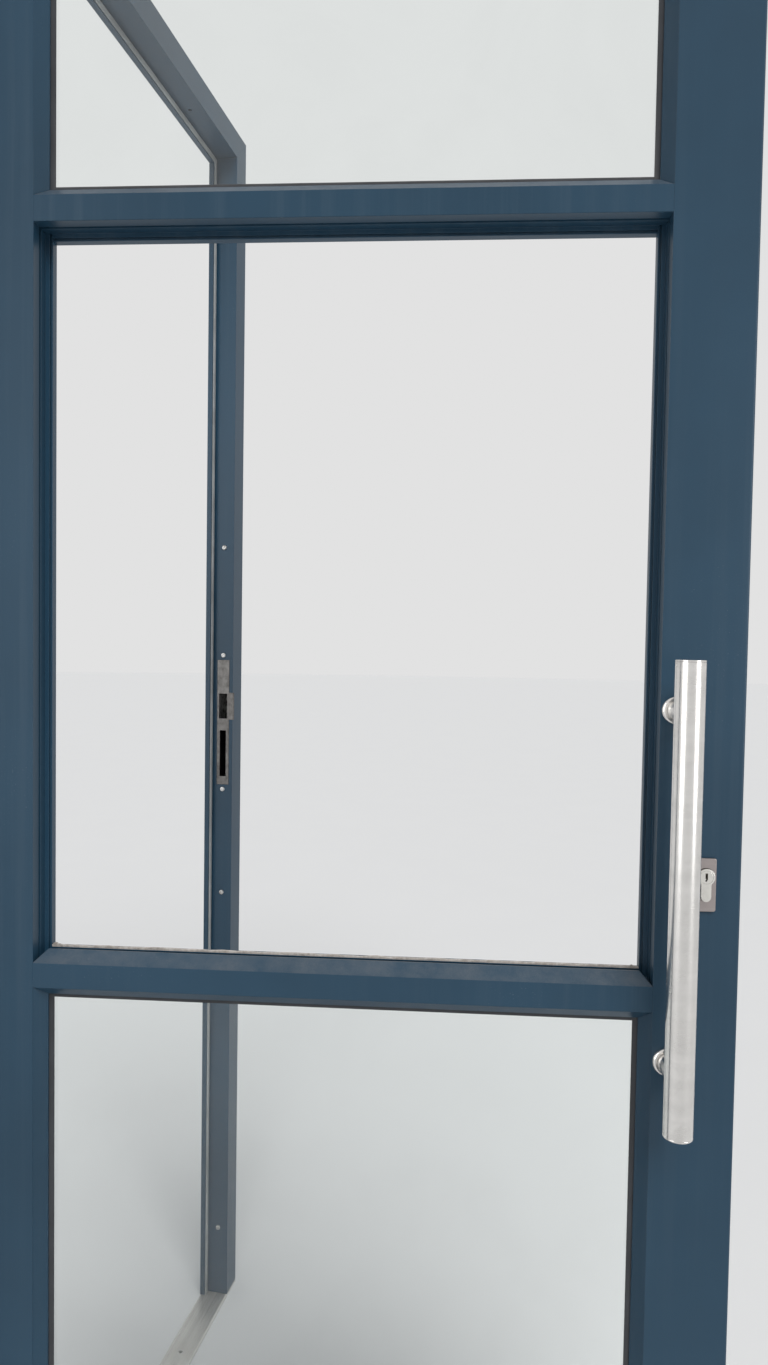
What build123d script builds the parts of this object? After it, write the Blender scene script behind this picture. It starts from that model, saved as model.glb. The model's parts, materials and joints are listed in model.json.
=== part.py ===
from build123d import *
from math import cos, radians, sin
import os

# A glazed entrance door of powder-coated aluminium, hung in its frame and standing open.
# Sizes are in millimetres. X runs across the doorway from the hinges to the lock, Y from the
# pull side to the push side, and Z up. The origin is under the middle of the threshold, on
# the floor. Each leaf piece is drawn as it lies when the door is shut, then swung open.

# Leaf
leaf_width = 800.0
leaf_height = 2150.0
leaf_depth = 38.0
stile_face = 83.0
cross_rail_face = 26.5
wall = 2.0
arris_radius = 2.5
inner_arris_radius = 0.6
mid_rail_top = 930.0
upper_light_height = 365.5
open_angle = 81.7

# Glazing rebate, measured from the pull face (setbacks) and from the rebate's floor (heights)
lip_setback = 28.5
lip_height = 8.0
lip_front_wall = 4.2
clip_groove_setback = 14.0
clip_groove_width = 4.0
clip_groove_depth = 2.6
gasket_groove_height = 4.5
gasket_groove_width = 2.0
gasket_groove_depth = 2.4

# Beads, glass and gaskets
bead_face = 10.7
bead_depth = 15.6
bead_wall = 1.4
bead_toe = 0.4
bead_leg = 2.2
front_gasket = 2.8
front_gasket_rise = 4.9
gasket_nose = 0.5
gasket_base_height = 2.0
rear_gasket_base_height = 1.0
glass_thickness = 6.4
glass_edge_gap = 3.0
setting_block_length = 60.0
sealant_height = 2.6
sealant_depth = 2.7

# Frame and threshold
jamb_face = 45.0
frame_depth = 50.0
stop_projection = 12.0
stop_thickness = 9.0
leaf_gap = 4.0
threshold_height = 5.0
threshold_chamfer = 2.0
leaf_floor_gap = 7.0
cleat_leg = 80.0
cleat_depth = 34.0
cleat_fit = 0.2
seal_groove_height = 5.0
seal_groove_width = 2.0
seal_groove_depth = 2.4
seal_width = 8.0
seal_clearance = 0.3
brush_width = 6.0
brush_clearance = 0.4
brush_end_gap = 4.0

# Fixings of the frame
fixing_hole_radius = 3.25
fixing_spacing = 656.0
fixing_middle_height = 791.0
head_fixing_spacing = 500.0
jamb_screw_radius = 2.5
jamb_screw_fit = 0.1
pan_head_radius = 4.5
pan_head_height = 2.2

# Hinges
hinge_count = 3
hinge_inset = 200.0
hinge_length = 100.0
hinge_plate = 3.0
hinge_plate_width = 30.0
hinge_offset = 8.0
knuckle_radius = 7.0
knuckle_gap = 0.5
knuckle_clearance = 0.5
hinge_pin_radius = 4.0
hinge_pin_fit = 0.05
hinge_pin_cap = 2.0
hinge_screw_radius = 2.0
hinge_screw_head = 4.0
hinge_screw_length = 14.0
hinge_screw_spacing = 36.0
hinge_screw_fit = 0.1

# Pull handle
handle_inset = 15.0
handle_middle_height = 1031.0
bar_length = 450.0
bar_radius = 14.0
bar_wall = 1.5
bar_cap = 2.0
bar_standoff = 50.0
post_spacing = 350.0
post_radius = 10.0
rose_radius = 14.0
rose_thickness = 6.0
handle_bolt_radius = 4.0
handle_bolt_fit = 0.2
handle_bolt_grip = 20.0
cap_nut_radius = 9.0
cap_nut_height = 5.0

# Cylinder and its escutcheons
backset = 35.0
cylinder_height = 1042.4
cylinder_head_radius = 8.5
cylinder_leg_width = 10.0
cylinder_total_height = 33.0
cylinder_proud = 2.0
cylinder_bridge = 8.0
cam_gap = 10.0
cam_side_clearance = 0.3
cam_hub_radius = 8.0
cam_reach = 13.0
cam_lever_width = 6.0
plug_radius = 6.5
plug_fit = 0.05
keyway_width = 2.4
keyway_height = 8.0
keyway_depth = 16.0
escutcheon_width = 20.0
escutcheon_height = 53.0
escutcheon_thickness = 3.0
escutcheon_corner = 1.5
cylinder_cutout_fit = 0.4

# Lock case, faceplate, bolt and roller latch
lock_plate_height = 237.0
lock_plate_width = 24.0
lock_plate_rise = 74.1
lock_plate_fit = 0.2
lock_screw_inset = 5.0
lock_screw_length = 12.0
lock_screw_radius = 2.0
lock_screw_head = 3.6
lock_screw_fit = 0.1
case_depth = 54.0
case_width = 16.0
case_wall = 1.5
case_drop = 34.4
case_height = 192.0
mounting_block_depth = 6.0
mounting_block_overlap = 8.0
bolt_pivot_rise = 7.6
bolt_pivot_setback = 13.0
bolt_half_width = 8.0
bolt_reach = 50.0
bolt_thickness = 9.0
bolt_tip_radius = 2.0
bolt_slot_margin = 1.5
bolt_slot_side = 1.0
pivot_pin_radius = 2.5
pivot_pin_fit = 0.05
cylinder_screw_radius = 2.5
cylinder_screw_drop = 20.5
latch_rise = 105.1
latch_width = 12.0
latch_body_height = 30.4
latch_body_length = 22.0
latch_ear = 3.0
latch_ear_radius = 4.0
latch_slot_fit = 0.4
roller_radius = 6.0
roller_gap = 0.2
roller_projection = 1.0
roller_pin_radius = 1.5
roller_pin_fit = 0.05

# Strike plate and the box behind it
strike_latch_height = 51.0
strike_latch_width = 16.0
strike_slot_height = 87.5
strike_slot_width = 12.0
strike_slot_rise = 15.1
strike_lip_overhang = 2.5
strike_box_depth = 38.0
strike_box_width = 20.0
strike_box_wall = 1.2
strike_box_margin = 3.0
strike_tab_thickness = 1.6
strike_screw_offset = 9.0
strike_tab_margin = 6.0

# Places that follow from the sizes
face_y = -frame_depth / 2
back_y = face_y + leaf_depth
lock_y = face_y + leaf_depth / 2
leaf_edge = leaf_width / 2
reveal = leaf_edge + leaf_gap
leaf_bottom = threshold_height + leaf_floor_gap
leaf_top = leaf_bottom + leaf_height
inner_edge = leaf_edge - stile_face
bottom_rail_top = leaf_bottom + stile_face
top_rail_bottom = leaf_top - stile_face
transom_top = top_rail_bottom - upper_light_height
transom_bottom = transom_top - cross_rail_face
mid_rail_bottom = mid_rail_top - cross_rail_face
frame_edge = reveal + jamb_face
head_soffit = leaf_top + leaf_gap
glass_front = bead_depth + front_gasket
glass_back = glass_front + glass_thickness
stop_face = frame_depth - stop_thickness

leaf_box = (-inner_edge, inner_edge, leaf_bottom, leaf_top)
upper_light = (-inner_edge, inner_edge, transom_top, top_rail_bottom)
middle_light = (-inner_edge, inner_edge, mid_rail_top, transom_bottom)
lower_light = (-inner_edge, inner_edge, bottom_rail_top, mid_rail_bottom)
doorway = (-reveal, reveal, threshold_height, head_soffit)

hinge_x = -(leaf_edge + leaf_gap / 2)
hinge_y = face_y - hinge_offset
hinge_axis = Location((hinge_x, hinge_y, 0))
swing_open = hinge_axis * Location((0, 0, 0), (0, 0, -open_angle)) * hinge_axis.inverse()

os.makedirs("parts", exist_ok=True)


def save(builder, name, on_leaf=True):
    """Label a finished piece, swing it open if it hangs on the leaf, and write its file."""
    piece = builder.part.moved(swing_open) if on_leaf else builder.part
    piece.label = name
    export_step(piece, "parts/" + name + ".step")


# Each side of a light or of the doorway has its own plane: its X points from the side into
# the opening, its Y goes back from the pull face, and its Z runs along the side.
def side_plane(side, box):
    x0, x1, z0, z1 = box
    corner, inward, along = {
        "left": ((x0, face_y, z0), (1, 0, 0), (0, 0, 1)),
        "right": ((x1, face_y, z1), (-1, 0, 0), (0, 0, -1)),
        "bottom": ((x1, face_y, z0), (0, 0, 1), (-1, 0, 0)),
        "top": ((x0, face_y, z1), (0, 0, -1), (1, 0, 0)),
    }[side]
    return Plane(origin=corner, x_dir=inward, z_dir=along)


def side_length(side, box):
    x0, x1, z0, z1 = box
    return z1 - z0 if side in ("left", "right") else x1 - x0


def run_along(section, side, box, mitre_start=True, mitre_end=True):
    """Extrude a section along one side of a box and mitre the ends that are asked for."""
    plane = side_plane(side, box)
    length = side_length(side, box)
    reach = jamb_face + stop_projection
    before = reach if mitre_start else 0
    after = reach if mitre_end else 0
    with BuildPart() as member:
        with BuildSketch(plane.offset(-before)):
            add(section)
        extrude(amount=length + before + after)
        if mitre_start:
            split(bisect_by=Plane(origin=plane.origin, z_dir=plane.z_dir - plane.x_dir))
        if mitre_end:
            far = plane.origin + plane.z_dir * length
            split(bisect_by=Plane(origin=far, z_dir=-plane.z_dir - plane.x_dir))
    return member.part


def strip(h0, h1, v0, v1, mode=Mode.ADD):
    """Add or cut a rectangle of a section, from its height and depth limits in any order."""
    with Locations((min(h0, h1), min(v0, v1))):
        Rectangle(abs(h1 - h0), abs(v1 - v0), align=(Align.MIN, Align.MIN), mode=mode)


def block(x0, x1, y0, y1, z0, z1, mode=Mode.ADD):
    """Add or cut a box of a part, from its limits."""
    with Locations((x0, y0, z0)):
        Box(x1 - x0, y1 - y0, z1 - z0, align=(Align.MIN, Align.MIN, Align.MIN), mode=mode)


def rod_y(x, z, y0, y1, radius, mode=Mode.ADD):
    """Add or cut a round rod that lies along Y."""
    with Locations(Location((x, y0, z), (-90, 0, 0))):
        Cylinder(radius, y1 - y0, align=(Align.CENTER, Align.CENTER, Align.MIN), mode=mode)


def rod_x(y, z, x0, x1, radius, mode=Mode.ADD):
    """Add or cut a round rod that lies along X."""
    with Locations(Location((x0, y, z), (0, 90, 0))):
        Cylinder(radius, x1 - x0, align=(Align.CENTER, Align.CENTER, Align.MIN), mode=mode)


def rod_z(x, y, z0, z1, radius, mode=Mode.ADD):
    """Add or cut a round rod that stands along Z."""
    with Locations((x, y, z0)):
        Cylinder(radius, z1 - z0, align=(Align.CENTER, Align.CENTER, Align.MIN), mode=mode)


# Sections
def glazing_edge(floor, toward):
    """Give one edge of a leaf section its rear lip, bead clip groove and gasket groove."""
    def part_of_edge(h0, h1, v0, v1, mode=Mode.ADD):
        strip(floor + toward * h0, floor + toward * h1, v0, v1, mode)

    part_of_edge(0, lip_height, lip_setback, leaf_depth)
    part_of_edge(-wall - clip_groove_depth, lip_height - wall,
                 lip_setback + lip_front_wall, leaf_depth - wall, Mode.SUBTRACT)
    part_of_edge(-wall - clip_groove_depth, -wall,
                 clip_groove_setback - wall, clip_groove_setback + clip_groove_width + wall)
    part_of_edge(-clip_groove_depth, 0,
                 clip_groove_setback, clip_groove_setback + clip_groove_width, Mode.SUBTRACT)
    part_of_edge(gasket_groove_height, gasket_groove_height + gasket_groove_width,
                 lip_setback, lip_setback + gasket_groove_depth, Mode.SUBTRACT)


def leaf_section(face, glazed_both_sides):
    """The hollow section of a leaf member, with its rebate's floor at height 0."""
    with BuildSketch() as section:
        strip(-face, 0, 0, leaf_depth)
        if glazed_both_sides:
            front_corners = section.vertices().group_by(Axis.Y)[0]
            fillet(front_corners, inner_arris_radius)
        else:
            fillet(section.vertices().group_by(Axis.X)[0], arris_radius)
            fillet(section.vertices().sort_by(Axis.Y)[:3].sort_by(Axis.X)[-1], inner_arris_radius)
        strip(wall - face, -wall, wall, leaf_depth - wall, Mode.SUBTRACT)
        glazing_edge(0, 1)
        if glazed_both_sides:
            glazing_edge(-face, -1)
    return section.sketch


def frame_section():
    """The hollow section of a jamb or head, with its reveal at height 0 and its stop."""
    with BuildSketch() as section:
        strip(-jamb_face, 0, 0, frame_depth)
        strip(0, stop_projection, stop_face, frame_depth)
        strip(wall - jamb_face, -wall, wall, frame_depth - wall, Mode.SUBTRACT)
        strip(-wall, stop_projection - wall,
              stop_face + seal_groove_depth + wall, frame_depth - wall, Mode.SUBTRACT)
        strip(seal_groove_height, seal_groove_height + seal_groove_width,
              stop_face, stop_face + seal_groove_depth, Mode.SUBTRACT)
    return section.sketch


def bead_section():
    """A snap-in bead: a sloping face, an upright back, and a leg that clips in the groove."""
    leg_front = bead_depth - bead_wall
    with BuildSketch() as section:
        with BuildLine():
            Polyline((0, bead_toe), (bead_face, leg_front - inner_arris_radius),
                     (bead_face, bead_depth), (-bead_leg, bead_depth), (-bead_leg, leg_front),
                     (bead_face - 2 * bead_wall, leg_front), (0, bead_toe + 2 * bead_wall),
                     close=True)
        make_face()
    return section.sketch


def front_gasket_section():
    """The wedge gasket between the bead and the glass."""
    with BuildSketch() as section:
        with BuildLine():
            Polyline((gasket_base_height, bead_depth), (bead_face, bead_depth),
                     (bead_face + front_gasket_rise, glass_front - gasket_nose),
                     (bead_face + front_gasket_rise, glass_front),
                     (gasket_base_height, glass_front), close=True)
        make_face()
    return section.sketch


def rear_gasket_section():
    """The gasket between the glass and the lip, with its root in the lip's groove."""
    with BuildSketch() as section:
        strip(rear_gasket_base_height, lip_height, glass_back, lip_setback)
        strip(gasket_groove_height, gasket_groove_height + gasket_groove_width,
              lip_setback, lip_setback + gasket_groove_depth)
    return section.sketch


def seal_section():
    """The bulb seal on the stop, with its root in the stop's groove."""
    middle = seal_groove_height + seal_groove_width / 2
    bulb = stop_face - leaf_depth - seal_clearance
    with BuildSketch() as section:
        strip(middle - seal_width / 2, middle + seal_width / 2, stop_face - bulb, stop_face)
        fillet(section.vertices().group_by(Axis.Y)[0], bulb / 2)
        strip(seal_groove_height, seal_groove_height + seal_groove_width,
              stop_face, stop_face + seal_groove_depth)
    return section.sketch


def cylinder_profile(x, y, fit=0.0):
    """The keyhole-shaped outline of the cylinder, drawn at a depth y and facing the pull side."""
    leg_end = cylinder_total_height - cylinder_head_radius - cylinder_leg_width / 2
    with BuildSketch(Plane((x, y, cylinder_height), x_dir=(1, 0, 0), z_dir=(0, -1, 0))) as outline:
        Circle(cylinder_head_radius + fit)
        strip(-cylinder_leg_width / 2 - fit, cylinder_leg_width / 2 + fit, -leg_end, 0)
        with Locations((0, -leg_end)):
            Circle(cylinder_leg_width / 2 + fit)
    return outline.sketch


# Places of repeated pieces, with the lock and strike set out from the cylinder's height
lock_plate_middle = cylinder_height + lock_plate_rise
case_bottom = cylinder_height - case_drop
case_top = case_bottom + case_height
bolt_pivot_height = cylinder_height + bolt_pivot_rise
latch_height = cylinder_height + latch_rise
strike_slot_middle = cylinder_height + strike_slot_rise
hinge_heights = [leaf_bottom + hinge_inset
                 + i * (leaf_height - 2 * hinge_inset) / (hinge_count - 1)
                 for i in range(hinge_count)]
hinge_screw_heights = [height + i * hinge_screw_spacing for height in hinge_heights
                       for i in (-1, 0, 1)]
hinge_screw_reach = hinge_plate_width / 2 + knuckle_radius
post_heights = [handle_middle_height - post_spacing / 2, handle_middle_height + post_spacing / 2]
handle_x = inner_edge + handle_inset
lock_x = leaf_edge - backset
lock_plate_bottom = lock_plate_middle - lock_plate_height / 2
lock_plate_top = lock_plate_middle + lock_plate_height / 2
lock_screw_heights = [lock_plate_bottom + lock_screw_inset, lock_plate_top - lock_screw_inset]
cylinder_screw_height = cylinder_height - cylinder_screw_drop
fixing_heights = [fixing_middle_height + i * fixing_spacing for i in (-1, 0, 1)]
strike_screw_heights = [lock_plate_bottom - strike_screw_offset,
                        lock_plate_top + strike_screw_offset]
case_front = leaf_edge - wall
bolt_pivot_x = leaf_edge - bolt_pivot_setback


# Frame members and threshold
def make_hinge_jamb():
    with BuildPart() as hinge_jamb:
        add(run_along(frame_section(), "left", doorway, mitre_start=False))
        for height in fixing_heights:
            rod_x(0, height, -frame_edge, -reveal, fixing_hole_radius, Mode.SUBTRACT)
        for height in hinge_screw_heights:
            rod_y(hinge_x - hinge_screw_reach, height, face_y, face_y + wall,
                  hinge_screw_radius + hinge_screw_fit, Mode.SUBTRACT)
    save(hinge_jamb, "hinge_jamb", on_leaf=False)


def make_lock_jamb():
    with BuildPart() as lock_jamb:
        add(run_along(frame_section(), "right", doorway, mitre_end=False))
        block(reveal, reveal + wall, lock_y - lock_plate_width / 2 - lock_plate_fit,
              lock_y + lock_plate_width / 2 + lock_plate_fit,
              lock_plate_bottom - lock_plate_fit, lock_plate_top + lock_plate_fit, Mode.SUBTRACT)
        block(reveal, reveal + wall, face_y, lock_y,
              latch_height - strike_latch_height / 2 - lock_plate_fit,
              latch_height + strike_latch_height / 2 + lock_plate_fit, Mode.SUBTRACT)
        for height in fixing_heights:
            rod_x(lock_y, height, reveal, frame_edge,
                  jamb_screw_radius + jamb_screw_fit, Mode.SUBTRACT)
        for height in strike_screw_heights:
            rod_x(lock_y, height, reveal, reveal + wall,
                  jamb_screw_radius + jamb_screw_fit, Mode.SUBTRACT)
    save(lock_jamb, "lock_jamb", on_leaf=False)


def make_head():
    with BuildPart() as head:
        add(run_along(frame_section(), "top", doorway))
        for x in (-head_fixing_spacing / 2, head_fixing_spacing / 2):
            rod_z(x, 0, head_soffit, head_soffit + jamb_face, fixing_hole_radius, Mode.SUBTRACT)
    save(head, "head", on_leaf=False)


def make_threshold():
    with BuildPart() as threshold:
        block(-frame_edge, frame_edge, -frame_depth / 2, frame_depth / 2, 0, threshold_height)
        top_edges = threshold.edges().group_by(Axis.Z)[-1].filter_by(Axis.X)
        chamfer(top_edges, threshold_chamfer)
        for x in (-head_fixing_spacing / 2, head_fixing_spacing / 2):
            rod_z(x, 0, 0, threshold_height, fixing_hole_radius, Mode.SUBTRACT)
    save(threshold, "threshold", on_leaf=False)


def make_corner_cleats():
    """The angle blocks that hold the head to the jambs, one in each top corner."""
    outer_x = frame_edge - wall - cleat_fit
    inner_x = reveal + wall + cleat_fit
    outer_z = head_soffit + jamb_face - wall - cleat_fit
    inner_z = head_soffit + wall + cleat_fit
    with BuildPart() as corner_cleats:
        for hand in (-1, 1):
            upright = sorted((hand * inner_x, hand * outer_x))
            level = sorted((hand * (inner_x - cleat_leg), hand * outer_x))
            block(*upright, -cleat_depth / 2, cleat_depth / 2, inner_z - cleat_leg, outer_z)
            block(*level, -cleat_depth / 2, cleat_depth / 2, inner_z, outer_z)
    save(corner_cleats, "corner_cleats", on_leaf=False)


def make_stop_seals():
    with BuildPart() as stop_seals:
        add(run_along(seal_section(), "left", doorway, mitre_start=False))
        add(run_along(seal_section(), "top", doorway))
        add(run_along(seal_section(), "right", doorway, mitre_end=False))
    save(stop_seals, "stop_seals", on_leaf=False)


def make_jamb_screws():
    """The pan-headed screws in the lock jamb's reveal: three through it, two at the strike."""
    lengths = [(height, jamb_face) for height in fixing_heights]
    lengths += [(height, wall + strike_tab_thickness) for height in strike_screw_heights]
    with BuildPart() as jamb_screws:
        for height, length in lengths:
            rod_x(lock_y, height, reveal, reveal + length, jamb_screw_radius)
            rod_x(lock_y, height, reveal - pan_head_height, reveal, pan_head_radius)
        rims = jamb_screws.edges().filter_by(GeomType.CIRCLE).group_by(Axis.X)[0]
        fillet(rims, pan_head_height / 2)
    save(jamb_screws, "jamb_screws", on_leaf=False)


# Strike
def make_strike_plate():
    half = lock_plate_width / 2
    with BuildPart() as strike_plate:
        block(reveal, reveal + wall, lock_y - half, lock_y + half,
              lock_plate_bottom, lock_plate_top)
        block(reveal, reveal + wall, face_y - strike_lip_overhang, lock_y,
              latch_height - strike_latch_height / 2, latch_height + strike_latch_height / 2)
        lip_edges = strike_plate.edges().filter_by(Axis.Z).group_by(Axis.Y)[0]
        fillet(lip_edges.sort_by(Axis.X)[0], wall * 0.9)
        block(reveal, reveal + wall,
              lock_y - strike_latch_width / 2, lock_y + strike_latch_width / 2,
              latch_height - strike_latch_height / 2 + wall,
              latch_height + strike_latch_height / 2 - wall, Mode.SUBTRACT)
        block(reveal, reveal + wall,
              lock_y - strike_slot_width / 2, lock_y + strike_slot_width / 2,
              strike_slot_middle - strike_slot_height / 2,
              strike_slot_middle + strike_slot_height / 2, Mode.SUBTRACT)
    save(strike_plate, "strike_plate", on_leaf=False)


def make_strike_box():
    """The folded box behind the strike, with a screwed tab past each end of the plate."""
    front = reveal + wall
    bottom = strike_slot_middle - strike_slot_height / 2 - strike_box_margin
    top = latch_height + strike_latch_height / 2 + strike_box_margin
    half = strike_box_width / 2
    with BuildPart() as strike_box:
        block(front, front + strike_box_depth, lock_y - half, lock_y + half, bottom, top)
        block(front, front + strike_tab_thickness, lock_y - half, lock_y + half,
              strike_screw_heights[0] - strike_tab_margin,
              strike_screw_heights[1] + strike_tab_margin)
        block(front, front + strike_box_depth - strike_box_wall,
              lock_y - half + strike_box_wall, lock_y + half - strike_box_wall,
              bottom + strike_box_wall, top - strike_box_wall, Mode.SUBTRACT)
        for height in strike_screw_heights:
            rod_x(lock_y, height, front, front + strike_tab_thickness,
                  jamb_screw_radius, Mode.SUBTRACT)
    save(strike_box, "strike_box", on_leaf=False)


# Leaf members
def notch_over_lips():
    """Cut a rail's ends back where they meet the stiles' lips."""
    for x0, x1 in ((-inner_edge, -inner_edge + lip_height), (inner_edge - lip_height, inner_edge)):
        block(x0, x1, face_y + lip_setback, back_y, leaf_bottom, leaf_top, Mode.SUBTRACT)


def make_hinge_stile():
    with BuildPart() as hinge_stile:
        add(run_along(leaf_section(stile_face, False), "left", leaf_box, False, False))
        for height in hinge_screw_heights:
            rod_y(hinge_x + hinge_screw_reach, height, face_y, face_y + wall,
                  hinge_screw_radius + hinge_screw_fit, Mode.SUBTRACT)
    save(hinge_stile, "hinge_stile")


def make_lock_stile():
    half = lock_plate_width / 2 + lock_plate_fit
    with BuildPart() as lock_stile:
        add(run_along(leaf_section(stile_face, False), "right", leaf_box, False, False))
        block(leaf_edge - wall, leaf_edge, lock_y - half, lock_y + half,
              lock_plate_bottom - lock_plate_fit, lock_plate_top + lock_plate_fit, Mode.SUBTRACT)
        extrude(cylinder_profile(lock_x, back_y, cylinder_cutout_fit), amount=leaf_depth,
                mode=Mode.SUBTRACT)
        for height in post_heights:
            rod_y(handle_x, height, face_y, back_y,
                  handle_bolt_radius + handle_bolt_fit, Mode.SUBTRACT)
    save(lock_stile, "lock_stile")


def make_rail(name, face, glazed_both_sides, side, box):
    with BuildPart() as rail:
        add(run_along(leaf_section(face, glazed_both_sides), side, box, False, False))
        notch_over_lips()
    save(rail, name)


def make_shear_blocks():
    """The blocks inside the rail ends that carry them on the stiles."""
    outer_y = (face_y + wall + cleat_fit, face_y + clip_groove_setback - wall - cleat_fit)
    heights = [(bottom_rail_top - stile_face + wall + cleat_fit,
                bottom_rail_top - 2 * wall - clip_groove_depth),
               (top_rail_bottom + 2 * wall + clip_groove_depth,
                top_rail_bottom + stile_face - wall - cleat_fit),
               (mid_rail_bottom + wall + cleat_fit, mid_rail_top - wall - cleat_fit),
               (transom_bottom + wall + cleat_fit, transom_top - wall - cleat_fit)]
    with BuildPart() as shear_blocks:
        for z0, z1 in heights:
            block(-inner_edge, -inner_edge + jamb_face, *outer_y, z0, z1)
            block(inner_edge - jamb_face, inner_edge, *outer_y, z0, z1)
    save(shear_blocks, "shear_blocks")


# Glazing
def make_bead(name, side, box):
    with BuildPart() as bead:
        add(run_along(bead_section(), side, box))
    save(bead, name)


def make_glass(name, box):
    x0, x1, z0, z1 = box
    gap = glass_edge_gap
    with BuildPart() as glass:
        block(x0 + gap, x1 - gap, face_y + glass_front, face_y + glass_back, z0 + gap, z1 - gap)
    save(glass, name)


def make_gaskets(name, box):
    with BuildPart() as gaskets:
        for side in ("left", "right", "bottom", "top"):
            add(run_along(front_gasket_section(), side, box))
            add(run_along(rear_gasket_section(), side, box))
        root = gasket_groove_height + gasket_groove_width
        for x0, x1 in ((-inner_edge + root, -inner_edge + lip_height),
                       (inner_edge - lip_height, inner_edge - root)):
            block(x0, x1, face_y + lip_setback, back_y, leaf_bottom, leaf_top, Mode.SUBTRACT)
    save(gaskets, name)


def make_setting_blocks():
    """The packers that each pane's lower edge stands on."""
    half = setting_block_length / 2
    with BuildPart() as setting_blocks:
        for x0, x1, z0, z1 in (upper_light, lower_light):
            for x in (x0 / 2, x1 / 2):
                block(x - half, x + half, face_y + glass_front, face_y + glass_back,
                      z0, z0 + glass_edge_gap)
    save(setting_blocks, "setting_blocks")


def make_old_sealant():
    """What is left of the seal on the lip of the mid rail, where the pane is gone."""
    reach = inner_edge - lip_height
    setback = face_y + lip_setback
    with BuildPart() as old_sealant:
        block(-reach, reach, setback, setback + sealant_depth,
              mid_rail_top + lip_height, mid_rail_top + lip_height + sealant_height)
    save(old_sealant, "old_sealant")


def make_bottom_brush():
    reach = leaf_edge - brush_end_gap
    with BuildPart() as bottom_brush:
        block(-reach, reach, lock_y - brush_width / 2, lock_y + brush_width / 2,
              threshold_height + brush_clearance, leaf_bottom)
    save(bottom_brush, "bottom_brush")


# Hinges
def make_hinge_leaf(name, height, hand, on_leaf):
    """One half of a hinge: the frame's has the end knuckles, the leaf's the middle one."""
    third = hinge_length / 3
    low = height - hinge_length / 2
    own_middle = on_leaf
    spans = [(low + i * third, low + (i + 1) * third) for i in range(3)]
    own = [span for i, span in enumerate(spans) if (i == 1) == own_middle]
    others = [span for i, span in enumerate(spans) if (i == 1) != own_middle]
    far_x = hinge_x + hand * (hinge_plate_width + knuckle_radius)
    near_x = hinge_x + hand * knuckle_gap
    with BuildPart() as hinge_leaf:
        block(min(near_x, far_x), max(near_x, far_x), face_y - hinge_plate, face_y,
              low, low + hinge_length)
        for z0, z1 in others:
            clear_x = hinge_x + hand * (knuckle_radius + knuckle_clearance)
            block(min(near_x, clear_x), max(near_x, clear_x), face_y - hinge_plate, face_y,
                  z0 - knuckle_gap / 2, z1 + knuckle_gap / 2, Mode.SUBTRACT)
        bore = hinge_pin_radius + (hinge_pin_fit if on_leaf else 0)
        for z0, z1 in own:
            z0 += knuckle_gap / 2 if z0 > low + third / 2 else 0
            z1 -= knuckle_gap / 2 if z1 < low + hinge_length - third / 2 else 0
            rod_z(hinge_x, hinge_y, z0, z1, knuckle_radius)
            rod_z(hinge_x, hinge_y, z0, z1, bore, Mode.SUBTRACT)
        for i in (-1, 0, 1):
            hole_x = hinge_x + hand * hinge_screw_reach
            with Locations(Location((hole_x, face_y - hinge_plate, height
                                     + i * hinge_screw_spacing), (90, 0, 0))):
                CounterSinkHole(hinge_screw_radius, hinge_screw_head, depth=hinge_plate)
    save(hinge_leaf, name, on_leaf)


def make_hinge_pins():
    with BuildPart() as hinge_pins:
        for height in hinge_heights:
            low = height - hinge_length / 2
            rod_z(hinge_x, hinge_y, low, low + hinge_length, hinge_pin_radius)
            rod_z(hinge_x, hinge_y, low - hinge_pin_cap, low, knuckle_radius)
            rod_z(hinge_x, hinge_y, low + hinge_length, low + hinge_length + hinge_pin_cap,
                  knuckle_radius)
    save(hinge_pins, "hinge_pins", on_leaf=False)


def countersunk_screw_y(x, y, z, head_radius, radius, length):
    """Add a countersunk screw that goes in along Y from its flush head."""
    head = head_radius - radius
    rod_y(x, z, y, y + length, radius)
    with Locations(Location((x, y, z), (-90, 0, 0))):
        Cone(head_radius, radius, head, align=(Align.CENTER, Align.CENTER, Align.MIN))


def countersunk_screw_x(y, z, x, head_radius, radius, length):
    """Add a countersunk screw that goes in against X from its flush head."""
    head = head_radius - radius
    rod_x(y, z, x - length, x, radius)
    with Locations(Location((x, y, z), (0, -90, 0))):
        Cone(head_radius, radius, head, align=(Align.CENTER, Align.CENTER, Align.MIN))


def make_hinge_screws(name, hand, on_leaf):
    with BuildPart() as screws:
        for height in hinge_screw_heights:
            countersunk_screw_y(hinge_x + hand * hinge_screw_reach, face_y - hinge_plate, height,
                                hinge_screw_head, hinge_screw_radius, hinge_screw_length)
    save(screws, name, on_leaf)


# Pull handle
bar_y = face_y - bar_standoff
bar_low = handle_middle_height - bar_length / 2
bar_high = handle_middle_height + bar_length / 2


def make_handle_bar():
    with BuildPart() as handle_bar:
        rod_z(handle_x, bar_y, bar_low + bar_cap, bar_high - bar_cap, bar_radius)
        rod_z(handle_x, bar_y, bar_low + bar_cap, bar_high - bar_cap, bar_radius - bar_wall,
              Mode.SUBTRACT)
    save(handle_bar, "handle_bar")


def make_handle_caps():
    """The flat discs that close the ends of the bar, with their slightly eased rims."""
    with BuildPart() as handle_caps:
        rod_z(handle_x, bar_y, bar_low, bar_low + bar_cap, bar_radius)
        rod_z(handle_x, bar_y, bar_high - bar_cap, bar_high, bar_radius)
        rims = handle_caps.edges().filter_by(GeomType.CIRCLE)
        fillet([rims.sort_by(Axis.Z)[0], rims.sort_by(Axis.Z)[-1]], inner_arris_radius)
    save(handle_caps, "handle_caps")


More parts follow.
